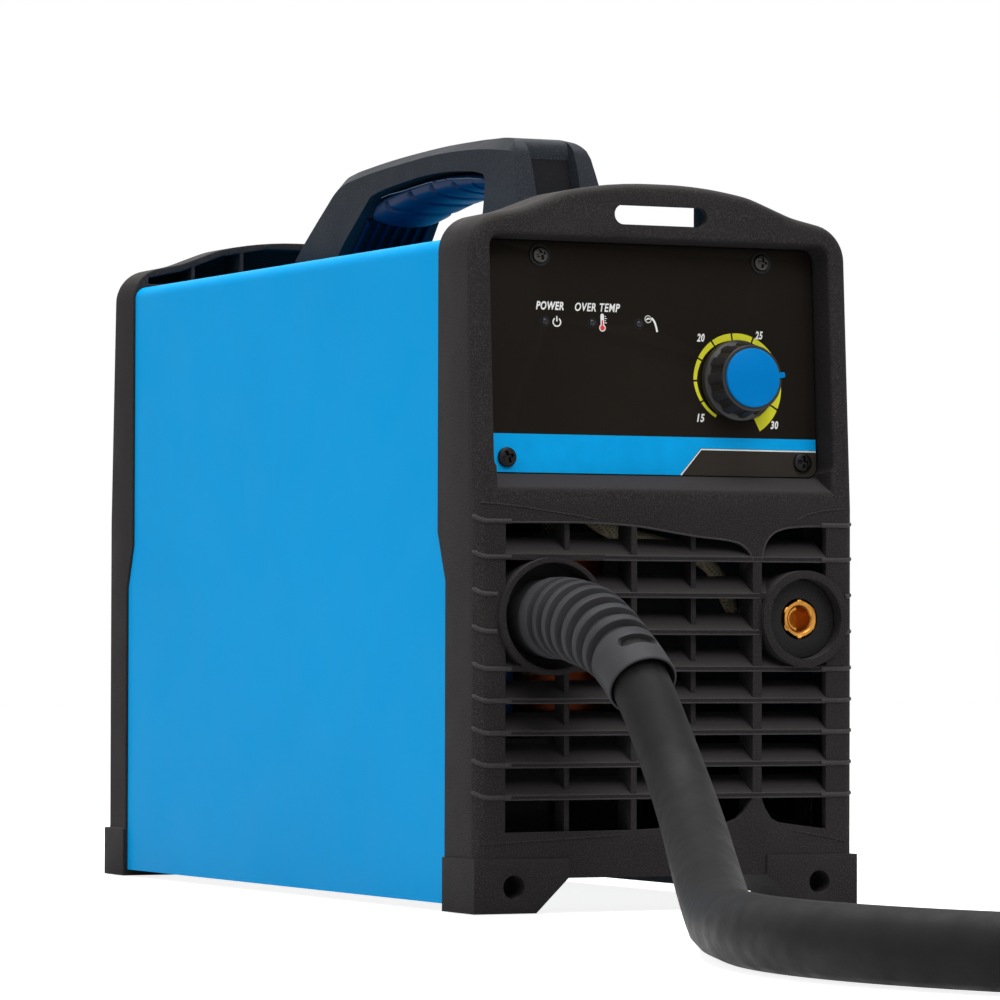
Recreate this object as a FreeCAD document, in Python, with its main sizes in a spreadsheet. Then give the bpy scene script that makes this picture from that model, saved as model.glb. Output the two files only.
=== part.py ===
import FreeCAD, Part
import math
import os
import re

import Sketcher
from FreeCAD import Placement, Rotation, Vector

# Driving dimensions in millimetres and degrees. The unit's front lower plane is y = 0, its rear is at +Y.
SIZES = {
    # whole unit
    "unit_width": 156.0, "unit_depth": 370.0, "fit_gap": 0.3, "slide_gap": 0.05,
    # bezel outline
    "crown_top": 268.4, "crown_half": 17.5, "ramp_half": 38.0, "ramp_top": 264.7, "dip_half": 56.0,
    "dip_top": 257.8, "shoulder_top": 253.1, "arch_height": 12.6, "shoulder_radius": 14.0,
    "crown_radius": 160.0, "ramp_radius": 40.0, "rim_radius": 4.0, "bezel_wall": 3.0,
    "shelf_bottom": 246.5, "shelf_top": 249.0,
    # how far the bezels reach along the sides
    "front_reach": 34.0, "front_reach_low": 27.0, "rear_reach": 27.4, "rear_reach_low": 21.0,
    "step_bottom": 121.0, "step_top": 139.0, "lean_start": 149.0, "front_lean": 3.3, "rear_lean": 2.6,
    # hump ribs and slot
    "rib_inner": 28.6, "rib_outer": 50.8, "rib_wall": 1.6, "hump_back": 9.5, "slot_half": 19.2,
    "slot_bottom": 252.7, "slot_top": 260.0, "chamber_end": 7.0,
    # feet
    "foot_half": 79.0, "foot_top": 19.8, "foot_step": 1.0, "sole_inner": 54.0, "arch_half": 41.0,
    "foot_hole_radius": 4.3, "foot_hole_half": 63.0, "foot_hole_height": 9.6, "foot_hole_depth": 12.0,
    # panel recess, measured along the leaning face from its start
    "recess_half": 70.0, "recess_low": 12.0, "recess_high": 98.6, "recess_radius": 4.5,
    "recess_depth": 12.0, "sill_low": 5.6, "window_half": 60.0, "window_low": 24.0,
    "window_high": 87.0, "panel_cavity": 24.0,
    # grille
    "grille_half": 66.2, "grille_top": 142.0, "grille_bottom": 29.3, "bar_height": 2.1,
    "bar_depth": 11.0, "bar_slope": 30.0, "bar_first": 128.4, "bar_pitch": 13.53, "bars_upper": 4,
    "bar_second": 76.1, "bar_pitch_low": 11.7, "bars_lower": 4, "post_left": -14.0,
    "post_left_width": 2.3, "post_right": 37.2, "post_right_width": 3.7, "rib_left": -40.0,
    "rib_middle": 12.0, "deep_rib_width": 2.0,
    # collar of the torch lead
    "collar_x": -47.8, "collar_height": 108.0, "collar_radius": 21.5, "collar_inner": 19.6,
    "collar_front": 3.0, "collar_floor": 8.5, "boot_root_radius": 14.0, "gland_radius": 20.0,
    "gland_width": 5.0, "gland_nut_flats": 36.0, "gland_nut_width": 7.0,
    # work socket
    "socket_x": 56.4, "socket_height": 107.5, "socket_ring_radius": 18.0, "socket_ring_inner": 15.0,
    "socket_ring_front": 2.5, "socket_floor": 3.9, "socket_back": 8.0, "socket_hole": 9.0,
    "socket_flats": 13.0, "socket_front": 2.2, "socket_bore": 4.5, "socket_bore_depth": 20.0,
    "socket_length": 30.0, "socket_disc_width": 1.0, "socket_nut_radius": 13.0,
    "socket_nut_width": 4.0,
    # cover and base pan
    "cover_half": 77.0, "cover_top": 247.5, "cover_bottom": 2.6, "cover_sheet": 1.0,
    "cover_radius": 5.0, "pan_sheet": 1.2, "pan_flange": 25.0, "tongue_half": 70.0,
    # handle
    "handle_half": 19.0, "handle_half_top": 16.0, "ridge_half": 9.0, "waist_up": 17.5, "edge_up": 43.5,
    "crown_up": 48.5, "handle_front": 84.0, "brow": 99.5, "brow_up": 40.5, "shoulder": 108.5,
    "shoulder_up": 45.4, "crown_front": 132.0, "crown_front_up": 47.6, "crown_middle": 170.0,
    "crown_rear": 238.0, "crown_rear_up": 46.7, "tail": 277.0, "tail_up": 42.5, "handle_rear": 319.7,
    "leg_inner": 273.0, "under_rear": 234.3, "under_rear_up": 31.8, "under_middle": 183.0,
    "under_up": 36.8, "under_front": 124.6, "under_front_up": 32.2, "post_inner": 117.0,
    "channel_half": 8.0, "channel_depth": 4.0, "grip_half": 13.0, "grip_front": 131.0,
    "grip_front_up": 24.7, "grip_flat": 168.0, "grip_flat_up": 24.2, "grip_low": 215.8,
    "grip_low_up": 19.1, "grip_curl": 230.7, "grip_curl_up": 21.1, "grip_rear": 241.5,
    "bolt_half": 10.0, "bolt_front": 103.0, "bolt_rear": 298.0, "bolt_radius": 2.5,
    "bolt_head_radius": 4.5, "bolt_head": 3.0, "bolt_length": 14.0,
    # panel plate and its pieces, measured along the leaning face
    "plate_half": 69.0, "plate_low": 12.4, "plate_high": 98.1, "plate_sheet": 2.0, "plate_radius": 4.0,
    "screw_head_radius": 3.2, "screw_head": 1.6, "screw_shank": 1.6, "screw_length": 6.0,
    "top_screw_half": 46.1, "top_screw_up": 93.0, "low_screw_half": 61.4, "low_screw_up": 17.9,
    "lamp_first": -43.0, "lamp_pitch": 19.35, "lamp_up": 68.5, "lamp_radius": 1.5, "lamp_proud": 0.8,
    "knob_x": 36.2, "knob_up": 48.1, "knob_skirt_radius": 14.3, "knob_skirt": 3.0, "knob_radius": 13.2,
    "knob_height": 11.0, "knob_lift": 0.5, "flute_count": 24, "flute_radius": 1.3, "flute_out": 0.6,
    "cap_radius": 10.9, "cap_height": 1.2, "pointer_reach": 13.2, "pointer_width": 3.0,
    "pointer_angle": 6.0, "shaft_radius": 3.0, "bushing_radius": 4.5, "pot_radius": 12.0,
    "pot_depth": 9.0, "pot_gap": 2.0, "board_sheet": 1.6, "control_half_width": 56.0,
    "control_low": 28.0, "control_high": 84.0,
    # boards and what stands on them
    "spacer_radius": 3.0, "spacer_height": 8.0, "main_half": 62.0, "main_front": 68.0,
    "main_rear": 290.0, "spacer_inset": 8.0, "sink_outer": 58.0, "sink_inner": 34.0,
    "sink_front": 110.0, "sink_rear": 270.0, "sink_height": 56.0, "sink_web": 4.0, "sink_fin": 1.8,
    "sink_fins": 6, "core_half": 24.0, "core_front": 140.0, "core_rear": 200.0, "core_height": 56.0,
    "core_leg": 12.0, "coil_wall": 9.0, "coil_gap": 0.5, "inductor_x": -3.0, "inductor_y": 95.0,
    "bobbin_radius": 15.0, "winding_radius": 21.0, "bobbin_flange": 23.0, "bobbin_base": 44.0,
    "winding_length": 66.0, "flange_width": 2.0, "capacitor_count": 3, "capacitor_radius": 10.0,
    "capacitor_height": 45.0, "capacitor_y": 245.0, "capacitor_pitch": 22.0,
    # rear face, local depth 0 at its lower plane
    "rear_open_half": 66.0, "rear_open_low": 30.0, "rear_open_high": 240.0, "rear_wall": 8.0,
    "rear_sheet": 1.2, "fan_side": 92.0, "fan_depth": 25.0, "fan_up": 92.0, "fan_bore": 44.0,
    "fan_hub": 18.0, "fan_motor": 4.0, "strut_half": 3.0, "blade_count": 7, "blade_tip": 42.5,
    "blade_depth": 15.0, "blade_width": 2.0, "blade_turn": 40.0, "guard_ring": 44.0, "guard_wire": 1.0,
    "guard_pitch": 10.5, "guard_rings": 4, "switch_x": 38.0, "rear_row_up": 196.0, "switch_frame": 3.0,
    "switch_lip": 2.0, "switch_depth": 20.0, "rocker_wide": 17.0, "rocker_tall": 23.6,
    "rocker_room": 1.6, "rocker_tilt": 8.0, "rocker_deep": 12.0, "rocker_end": 9.5, "rocker_dip": 7.0,
    "rocker_back": 6.0, "rocker_back_half": 8.5, "rocker_pin": 1.5, "rocker_pin_reach": 1.5,
    "mains_x": -4.0, "mains_radius": 11.0, "mains_bore": 5.0, "mains_out": 12.0, "mains_in": 14.0,
    "inlet_x": -44.0, "inlet_radius": 6.0, "inlet_collar": 11.0, "inlet_out": 26.0, "inlet_bore": 3.5,
    "regulator_radius": 18.0, "regulator_length": 46.0, "regulator_gap": 4.0, "hose_radius": 4.0,
    "valve_x": -44.0, "valve_y": 50.0, "valve_side": 26.0, "valve_height": 46.0, "valve_port_up": 28.0,
    "lead_radius": 3.0, "power_lead_aside": 7.5, "valve_hose_turn": 14.0, "valve_hose_corner": 9.0,
    # torch lead and its boot
    "cable_radius": 11.5, "boot_rib_radius": 15.0, "boot_last_radius": 13.8, "boot_groove": 2.2,
    "boot_end_radius": 12.75, "boot_ribs": 10, "boot_height": 107.2, "boot_straight": 25.0,
    "boot_root": 10.0, "boot_bend_radius": 67.3, "boot_bend": 47.0, "boot_collar": 12.0,
    "coil_x": 80.0, "coil_y": -440.0, "coil_mean_radius": 126.5, "coil_pitch": 24.5,
    "coil_quarters": 14, "coil_start": 246.0, "lead_height": 11.6, "layer_rise": 23.6,
    "lead_first_run": 38.8, "lead_last_run": 60.0, "tail_first_run": 24.0, "tail_last_run": 55.0,
    # torch, lying along -Y on the coil
    "torch_x": -36.4, "torch_start": -433.0, "torch_height": 63.0, "torch_boot_length": 35.0,
    "torch_boot_radius": 15.5, "boot_lip": 6.0, "torch_length": 140.0, "torch_half": 16.0,
    "torch_half_width": 18.0, "torch_rim": 7.0, "torch_slim": 4.0, "torch_front_run": 21.0,
    "torch_brow": 3.0, "torch_brow_back": 12.0, "head_gap": 14.0, "head_radius": 13.0,
    "neck_radius": 11.5, "neck_length": 44.0, "cup_radius": 12.5, "cup_nose_radius": 9.0,
    "cup_length": 22.0, "cup_bore": 4.5, "tip_radius": 4.0, "tip_length": 28.0, "tip_nozzle": 3.0,
    "trigger_back": 88.0, "trigger_front": 132.0, "trigger_half": 6.0, "trigger_out": 24.0,
    "trigger_in": 13.5, "trigger_room": 6.5, "trigger_pin_radius": 1.5, "trigger_heel": 2.0,
    "trigger_heel_run": 5.0, "trigger_hook": 1.0, "trigger_hook_run": 16.0, "trigger_toe": 6.0,
    "pivot_back": 4.0, "slot_back": 2.0, "slot_front": 4.0, "pin_seat": 3.0, "pin_grip": 2.5,
}

doc = FreeCAD.newDocument("plasma_cutter")
sheet = doc.addObject("Spreadsheet::Sheet", "dims")
for row, (alias, size) in enumerate(SIZES.items(), 1):
    sheet.set(f"A{row}", alias)
    sheet.set(f"B{row}", str(size))
    sheet.setAlias(f"B{row}", alias)
doc.recompute()


def full(words):
    """An expression on the sheet's aliases, with the sheet's name before each."""
    return re.sub(r"[a-z_]+", lambda m: f"dims.{m[0]}" if m[0] in SIZES else m[0], str(words))


def num(words):
    return float(sheet.evalExpression(full(words)))


# The whole assembly stands with its origin at the middle of the unit and torch, on the floor.
REAR_MOST = "unit_depth + inlet_out - rear_wall"
TORCH_END = "torch_start - torch_boot_length - torch_length - head_gap - head_radius"
FRONT = f"-(({REAR_MOST}) + ({TORCH_END})) / 2"
TURNS = {"x": Rotation(Vector(0, 1, 0), 90), "y": Rotation(Vector(1, 0, 0), -90), "z": Rotation()}
PLANES = {"xz": ("XZ_Plane", -1), "yz": ("YZ_Plane", 1), "xy": ("XY_Plane", 1)}
positions = {}
subparts = []


def bind(obj, words_by_property):
    for name, words in words_by_property.items():
        obj.setExpression(name, full(words))
    return obj


def place(obj, at):
    positions[obj.Name] = at
    return bind(obj, {f"Placement.Base.{letter}": words for letter, words in zip("xyz", at)})


def box(name, low, size):
    return place(bind(doc.addObject("Part::Box", name), dict(zip(("Length", "Width", "Height"), size))),
                 low)


def cylinder(name, start, radius, length, along="z"):
    obj = doc.addObject("Part::Cylinder", name)
    obj.Placement = Placement(Vector(), TURNS[along])
    return place(bind(obj, {"Radius": radius, "Height": length}), start)


def cone(name, start, first, last, length, along="z"):
    obj = doc.addObject("Part::Cone", name)
    obj.Placement = Placement(Vector(), TURNS[along])
    return place(bind(obj, {"Radius1": first, "Radius2": last, "Height": length}), start)


def ring(name, centre, radius, wire, along="z"):
    obj = doc.addObject("Part::Torus", name)
    obj.Placement = Placement(Vector(), TURNS[along])
    return place(bind(obj, {"Radius1": radius, "Radius2": wire}), centre)


def fuse(name, *shapes):
    obj = doc.addObject("Part::MultiFuse", name)
    obj.Shapes = list(shapes)
    obj.Refine = True
    return obj


def cut(name, base, *tools):
    obj = doc.addObject("Part::Cut", name)
    obj.Base = base
    obj.Tool = tools[0] if len(tools) == 1 else fuse(f"{name}_tools", *tools)
    obj.Refine = True
    return obj


def tube(name, start, radius, bore, length, along="z"):
    outer = cylinder(f"{name}_outer", start, radius, length, along)
    return cut(name, outer, cylinder(f"{name}_bore", start, bore, length, along))


def group(name, *shapes):
    """Several like pieces kept as one sub-part."""
    obj = doc.addObject("Part::Compound", name)
    obj.Links = list(shapes)
    return obj


def mirrored(points):
    """A closed outline from its right half, listed from the top down."""
    return points + [(f"-({a})", b) for a, b in reversed(points)]


def rect(low_a, low_b, high_a, high_b):
    return [(low_a, low_b), (high_a, low_b), (high_a, high_b), (low_a, high_b)]


def circle(a, b, radius):
    return ("circle", a, b, radius)


def hexagon(a, b, flats):
    turns = [90 + 60 * i for i in range(6)]
    return [(f"{a} + {flats} / sqrt(3) * cos({t})", f"{b} + {flats} / sqrt(3) * sin({t})") for t in turns]


def draw_polygon(sketch, points):
    first, count = sketch.GeometryCount, len(points)
    spots = [Vector(num(a), num(b), 0) for a, b in points]
    sketch.addGeometry([Part.LineSegment(spots[i], spots[(i + 1) % count]) for i in range(count)])
    for i in range(count):
        sketch.addConstraint(Sketcher.Constraint("Coincident", first + i, 2, first + (i + 1) % count, 1))
    for i, (a, b) in enumerate(points):
        for kind, words in (("DistanceX", a), ("DistanceY", b)):
            index = sketch.addConstraint(Sketcher.Constraint(kind, -1, 1, first + i, 1, num(words)))
            sketch.setExpression(f"Constraints[{index}]", full(words))


def draw_circle(sketch, a, b, radius):
    geometry = sketch.addGeometry(Part.Circle(Vector(num(a), num(b), 0), Vector(0, 0, 1), num(radius)))
    for kind, words in (("DistanceX", a), ("DistanceY", b)):
        index = sketch.addConstraint(Sketcher.Constraint(kind, -1, 1, geometry, 3, num(words)))
        sketch.setExpression(f"Constraints[{index}]", full(words))
    index = sketch.addConstraint(Sketcher.Constraint("Radius", geometry, num(radius)))
    sketch.setExpression(f"Constraints[{index}]", full(radius))


def new_body(name):
    return doc.addObject("PartDesign::Body", name)


def sketch_on(body, plane, outlines, start):
    role, sign = PLANES[plane]
    sketch = body.newObject("Sketcher::SketchObject", f"{body.Name}_sketch")
    sketch.AttachmentSupport = [(next(f for f in body.Origin.OriginFeatures if f.Role == role), "")]
    sketch.MapMode = "FlatFace"
    bind(sketch, {"AttachmentOffset.Base.z": f"{sign} * ({start})"})
    for outline in outlines:
        if outline[0] == "circle":
            draw_circle(sketch, *outline[1:])
        else:
            draw_polygon(sketch, outline)
    return sketch


def pad(body, plane, outlines, start, length):
    """Adds the outlines, drawn across the third axis, from start on for a length."""
    feature = body.newObject("PartDesign::Pad", f"{body.Name}_pad")
    feature.Profile = sketch_on(body, plane, outlines, start)
    feature.Reversed = PLANES[plane][1] < 0
    bind(feature, {"Length": length})
    return body


def pocket(body, plane, outlines, start, length):
    """Takes the outlines away, from start on for a length, and checks that something went."""
    before = body.Tip
    feature = body.newObject("PartDesign::Pocket", f"{body.Name}_pocket")
    feature.Profile = sketch_on(body, plane, outlines, start)
    feature.Reversed = PLANES[plane][1] > 0
    bind(feature, {"Length": length})
    doc.recompute()
    if not feature.Shape.Volume < before.Shape.Volume - 0.01:
        raise ValueError(f"{feature.Name} cuts nothing")
    return body


def round_edges(body, wanted, radius):
    doc.recompute()
    base = body.Tip
    names = [f"Edge{i}" for i, edge in enumerate(base.Shape.Edges, 1) if wanted(edge)]
    feature = body.newObject("PartDesign::Fillet", f"{body.Name}_fillet")
    feature.Base = (base, names)
    bind(feature, {"Radius": radius})
    body.Tip = feature
    return body


def along_axis(axis, spots):
    """Picks the straight edges along an axis through the spots, given in the other two coordinates."""
    others = [i for i in range(3) if i != "xyz".index(axis)]
    places = [(num(a), num(b)) for a, b in spots]

    def wanted(edge):
        ends = [v.Point for v in edge.Vertexes]
        if len(ends) != 2 or (ends[1] - ends[0])["xyz".index(axis)] == 0:
            return False
        return any(all(abs(end[i] - value) < 0.01 for end in ends for i, value in zip(others, spot))
                   for spot in places)
    return wanted


def keep(label, obj, frame="unit"):
    """Makes an object a sub-part: its label is its name, and its placement puts it in the assembly."""
    obj.Label = label
    subparts.append(obj)
    if frame == "panel":
        obj.Placement = Placement(Vector(), Rotation(Vector(1, 0, 0), 90 - num("front_lean")))
        bind(obj, {"Placement.Rotation.Angle": "90 - front_lean"})
        return place(obj, (0, f"{FRONT} + {PANEL_Y}", PANEL_Z))
    if frame == "rear":
        obj.Placement = Placement(Vector(), Rotation(Vector(0, 0, 1), 180))
        return place(obj, (0, f"{FRONT} + unit_depth", 0))
    if frame == "torch":
        obj.Placement = Placement(Vector(), Rotation(Vector(0, 0, 1), 180))
        return place(obj, ("torch_x", f"{FRONT} + torch_start", "torch_height"))
    x, y, z = positions.get(obj.Name, (0, 0, 0))
    return place(obj, (x, f"{FRONT} + {y}", z))


# The control panel's own frame: X across, Y up along the leaning plate, Z out of the plate's front.
PANEL_Y = "recess_depth * cos(front_lean)"
PANEL_Z = "lean_start - recess_depth * sin(front_lean)"


def between(x, start, end):
    """The height at x on the straight line between two outline corners."""
    (xa, za), (xb, zb) = start, end
    return f"{za} + ({x} - ({xa})) * ({zb} - ({za})) / ({xb} - ({xa}))"


CROWN = ("crown_half", "crown_top")
RAMP = ("ramp_half", "ramp_top")
DIP = ("dip_half", "dip_top")
SHOULDER = ("unit_width / 2", "shoulder_top")
BEZEL_RIGHT = [CROWN, RAMP, DIP, SHOULDER, ("unit_width / 2", "arch_height")]
SIDE = "foot_half + 1"


def both_sides(spots):
    return spots + [(f"-({a})", b) for a, b in spots]


def bezel_blank(name, reach, reach_low, lean):
    """The solid moulding: outline, rounded hump, leaning face, stepped rear edge and feet."""
    body = pad(new_body(name), "xz", [mirrored(BEZEL_RIGHT)], "0", reach)
    round_edges(body, along_axis("y", both_sides([CROWN])), "crown_radius")
    round_edges(body, along_axis("y", both_sides([RAMP, DIP])), "ramp_radius")
    round_edges(body, along_axis("y", both_sides([SHOULDER])), "shoulder_radius")
    top = "crown_top + rim_radius"
    lean_cut = [("0", "lean_start"), (f"({top} - lean_start) * tan({lean})", top), ("-rim_radius", top),
                ("-rim_radius", "lean_start")]
    pocket(body, "yz", [lean_cut], f"-({SIDE})", f"2 * ({SIDE})")
    tangent = math.tan(math.radians(num(lean)))

    def on_front(edge):
        low, high = edge.BoundBox.ZMin, edge.BoundBox.ZMax
        if high < num("arch_height") + 1 or (high - low < 0.01 and abs(low - num("lean_start")) < 0.01):
            return False
        points = [edge.valueAt(edge.FirstParameter + f * (edge.LastParameter - edge.FirstParameter))
                  for f in (0, 0.5, 1)]
        return all(abs(p.y - max(0, p.z - num("lean_start")) * tangent) < 0.01 for p in points)
    round_edges(body, on_front, "rim_radius")
    step = [(reach_low, "-1"), (reach_low, "step_bottom"), (reach, "step_top"),
            (f"{reach} + 1", "step_top"),
            (f"{reach} + 1", "-1")]
    pocket(body, "yz", [step], f"-({SIDE})", f"2 * ({SIDE})")
    foot = [("arch_half", "arch_height"), ("sole_inner", "0"), ("foot_half", "0"),
            ("foot_half", "foot_top"),
            ("arch_half", "foot_top")]
    feet = [foot, [(f"-({a})", b) for a, b in foot]]
    pad(body, "xz", feet, "-foot_step", f"{reach_low} + foot_step")
    holes = [circle(f"{side} * foot_hole_half", "foot_hole_height", "foot_hole_radius") for side in (1, -1)]
    return pocket(body, "xz", holes, "-foot_step", "foot_hole_depth")


def hump_chambers(body, reach):
    """The hollow of the hump, open to the inside and stiffened by four upright ribs."""
    inner_right = "rib_inner - rib_wall / 2"
    middle_left, middle_right = "rib_inner + rib_wall / 2", "rib_outer - rib_wall / 2"
    outer_left, outer_right = "rib_outer + rib_wall / 2", "unit_width / 2 - chamber_end"

    def under(x, start, end):
        return (x, f"{between(x, start, end)} - bezel_wall")
    centre = mirrored([(CROWN[0], "crown_top - bezel_wall"), under(inner_right, CROWN, RAMP),
                       (inner_right, "shelf_top")])
    middle = [(middle_left, "shelf_top"), (middle_right, "shelf_top"), under(middle_right, RAMP, DIP),
              (RAMP[0], "ramp_top - bezel_wall"), under(middle_left, CROWN, RAMP)]
    outer = [(outer_left, "shelf_top"), (outer_right, "shelf_top"), under(outer_right, DIP, SHOULDER),
             (DIP[0], "dip_top - bezel_wall"), under(outer_left, RAMP, DIP)]
    sides = [[(f"-({a})", b) for a, b in outline] for outline in (middle, outer)]
    return pocket(body, "xz", [centre, middle, outer, *sides], "hump_back", reach)


def inner_rect(low, high):
    return rect("bezel_wall - unit_width / 2", low, "unit_width / 2 - bezel_wall", high)


# The curves of the grille's opening beside the right post, as offsets from its edges and its ends.
SWOOSH_LEFT = [(-63.3, 0), (-47, -1), (-30.5, -3.4), (-22.2, -4.5), (-9.7, -5.8), (-6.4, -6.5),
               (-3.6, -7.9), (-1.4, -9.9), (0, -13)]
SWOOSH_RIGHT = [(0, -13), (0.9, -8.6), (2.5, -5.3), (5.4, -2.6), (9.6, -1.1), (15, -0.4)]
FLARE_RIGHT = [(12, 1.9), (7, 2.7), (4, 4.2), (1.5, 7.9), (0, 11.7)]
FLARE_LEFT = [(0, 11.7), (-3.3, 6.6), (-6.3, 4), (-12.4, 1.9), (-50, 0.4)]


def louvres(body):
    """The grille's opening, its sloping bars, two face posts and two deep ribs."""
    left_edge, right_edge = "post_right - post_right_width / 2", "post_right + post_right_width / 2"

    def curve(edge, base, offsets):
        return [(f"{edge} + {x}", f"{base} + {z}") for x, z in offsets]
    opening = [("-grille_half", "grille_top"), *curve(left_edge, "grille_top", SWOOSH_LEFT),
               *curve(right_edge, "grille_top", SWOOSH_RIGHT), ("grille_half", "grille_top"),
               ("grille_half", "grille_bottom"), *curve(right_edge, "grille_bottom", FLARE_RIGHT),
               *curve(left_edge, "grille_bottom", FLARE_LEFT), ("-grille_half", "grille_bottom")]
    pocket(body, "xz", [opening], "-1", "bar_depth")
    starts = [f"bar_first - {i} * bar_pitch" for i in range(int(num("bars_upper")))]
    starts += [f"bar_second - {i} * bar_pitch_low" for i in range(int(num("bars_lower")))]
    rise = "bar_depth * tan(bar_slope)"
    bars = [[("0", low), ("0", f"{low} + bar_height"), ("bar_depth", f"{low} + bar_height + {rise}"),
             ("bar_depth", f"{low} + {rise}")] for low in starts]
    pad(body, "yz", bars, "-(grille_half + fit_gap)", "2 * (grille_half + fit_gap)")
    posts = [("post_left", "post_left_width", "0"), ("post_right", "post_right_width", "0"),
             ("rib_left", "deep_rib_width", "bezel_wall"), ("rib_middle", "deep_rib_width", "bezel_wall")]
    for middle, width, start in posts:
        sides = rect(f"{middle} - {width} / 2", "grille_bottom - 1", f"{middle} + {width} / 2",
                     "grille_top + 1")
        pad(body, "xz", [sides], start, f"bar_depth - {start}")
    return body


def collar(body, at, outer, inner, front, floor, back):
    """A round boss on the grille with a dished front, clear of the bars behind it."""
    pad(body, "xz", [circle(*at, outer)], f"-{front}", f"{front} + {back}")
    pocket(body, "xz", [circle(*at, inner)], f"-{front}", f"{front} + {floor}")
    if back != "bar_depth":
        pocket(body, "xz", [circle(*at, inner)], back, "bar_depth + 1")
    return body


COLLAR = ("collar_x", "collar_height")
BOOT_ROOT = ("collar_x", "boot_height")
SOCKET = ("socket_x", "socket_height")
PANEL_SCREWS = {"top": ("top_screw_half", "top_screw_up"), "low": ("low_screw_half", "low_screw_up")}


def recess_tool():
    """What the panel recess takes out of the front bezel, in the panel's frame."""
    body = pad(new_body("recess_tool"), "xy",
               [rect("-recess_half", "recess_low", "recess_half", "recess_high")],
               "-plate_sheet", "recess_depth + plate_sheet + 1")
    corners = [(f"{side}recess_half", up) for side in ("-", "") for up in ("recess_low", "recess_high")]
    round_edges(body, along_axis("z", corners), "recess_radius")
    sill = [("recess_low", "0"), ("sill_low", "recess_depth"), ("sill_low", "recess_depth + 1"),
            ("recess_high / 2", "recess_depth + 1"), ("recess_high / 2", "0")]
    pad(body, "yz", [sill], "-plate_half", "2 * plate_half")
    pad(body, "xy", [rect("-window_half", "window_low", "window_half", "window_high")], "-panel_cavity",
        "panel_cavity")
    holes = [circle(f"{side}{half}", up, "screw_shank + slide_gap") for half, up in PANEL_SCREWS.values()
             for side in ("-", "")]
    pad(body, "xy", holes, "-plate_sheet - screw_length", "screw_length + 1")
    body.Placement = Placement(Vector(), Rotation(Vector(1, 0, 0), 90 - num("front_lean")))
    bind(body, {"Placement.Rotation.Angle": "90 - front_lean"})
    return place(body, (0, PANEL_Y, PANEL_Z))


def make_front_bezel():
    body = bezel_blank("front_blank", "front_reach", "front_reach_low", "front_lean")
    pocket(body, "xz", [inner_rect("arch_height + bezel_wall", "lean_start + 1")], "bezel_wall",
           "front_reach")
    pocket(body, "xz", [inner_rect("lean_start", "shelf_bottom")], "panel_cavity", "front_reach")
    hump_chambers(body, "front_reach")
    louvres(body)
    collar(body, COLLAR, "collar_radius", "collar_inner", "collar_front", "collar_floor", "bar_depth")
    pocket(body, "xz", [circle(*BOOT_ROOT, "boot_root_radius + fit_gap")], "0", "bar_depth + 1")
    collar(body, SOCKET, "socket_ring_radius", "socket_ring_inner", "socket_ring_front", "socket_floor",
           "socket_back")
    pocket(body, "xz", [circle(*SOCKET, "socket_hole")], "0", "socket_back + 1")
    slot = rect("-slot_half", "slot_bottom", "slot_half", "slot_top")
    pocket(body, "xz", [slot], "-1", "hump_back + 2")
    round_edges(body, along_axis("y", slot), "(slot_top - slot_bottom) / 2 - slide_gap")
    keep("front_bezel", cut("front_bezel", body, recess_tool()))


def make_rear_bezel():
    body = bezel_blank("rear_bezel", "rear_reach", "rear_reach_low", "rear_lean")
    pocket(body, "xz", [inner_rect("arch_height + bezel_wall", "shelf_bottom")], "rear_wall", "rear_reach")
    hump_chambers(body, "rear_reach")
    pocket(body, "xz", [rect("-rear_open_half", "rear_open_low", "rear_open_half", "rear_open_high")],
           "-1", "rear_wall + 2")
    keep("rear_bezel", body, "rear")


def make_cover():
    """One folded sheet: left side, top and right side, with its ends stepped like the bezels' edges."""
    front, rear = "front_reach_low + fit_gap", "unit_depth - rear_reach_low - fit_gap"
    inner_half, inner_top = "cover_half - cover_sheet", "cover_top - cover_sheet"
    outline = [("-cover_half", "cover_bottom"), ("-cover_half", "cover_top"), ("cover_half", "cover_top"),
               ("cover_half", "cover_bottom"), (inner_half, "cover_bottom"), (inner_half, inner_top),
               (f"-({inner_half})", inner_top), (f"-({inner_half})", "cover_bottom")]
    body = pad(new_body("cover"), "xz", [outline], front, f"{rear} - ({front})")
    round_edges(body, along_axis("y", outline[1:3]), "cover_radius")
    round_edges(body, along_axis("y", outline[5:7]), "cover_radius - cover_sheet")
    upper_front, upper_rear = "front_reach + fit_gap", "unit_depth - rear_reach - fit_gap"
    steps = [[(f"{low} {outward} 1", "step_bottom"), (low, "step_bottom"), (high, "step_top"),
              (high, "cover_top + 1"),
              (f"{low} {outward} 1", "cover_top + 1")]
             for low, high, outward in ((front, upper_front, "-"), (rear, upper_rear, "+"))]
    pocket(body, "yz", steps, "-cover_half - 1", "2 * cover_half + 2")
    holes = [circle(f"{side} * bolt_half", y, "bolt_radius + fit_gap") for side in (1, -1)
             for y in ("bolt_front", "bolt_rear")]
    pocket(body, "xy", holes, "cover_top - 2 * cover_sheet", "3 * cover_sheet")
    keep("cover", body)


PAN_BOTTOM = "arch_height + bezel_wall"
PAN_TOP = f"{PAN_BOTTOM} + pan_sheet"


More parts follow.
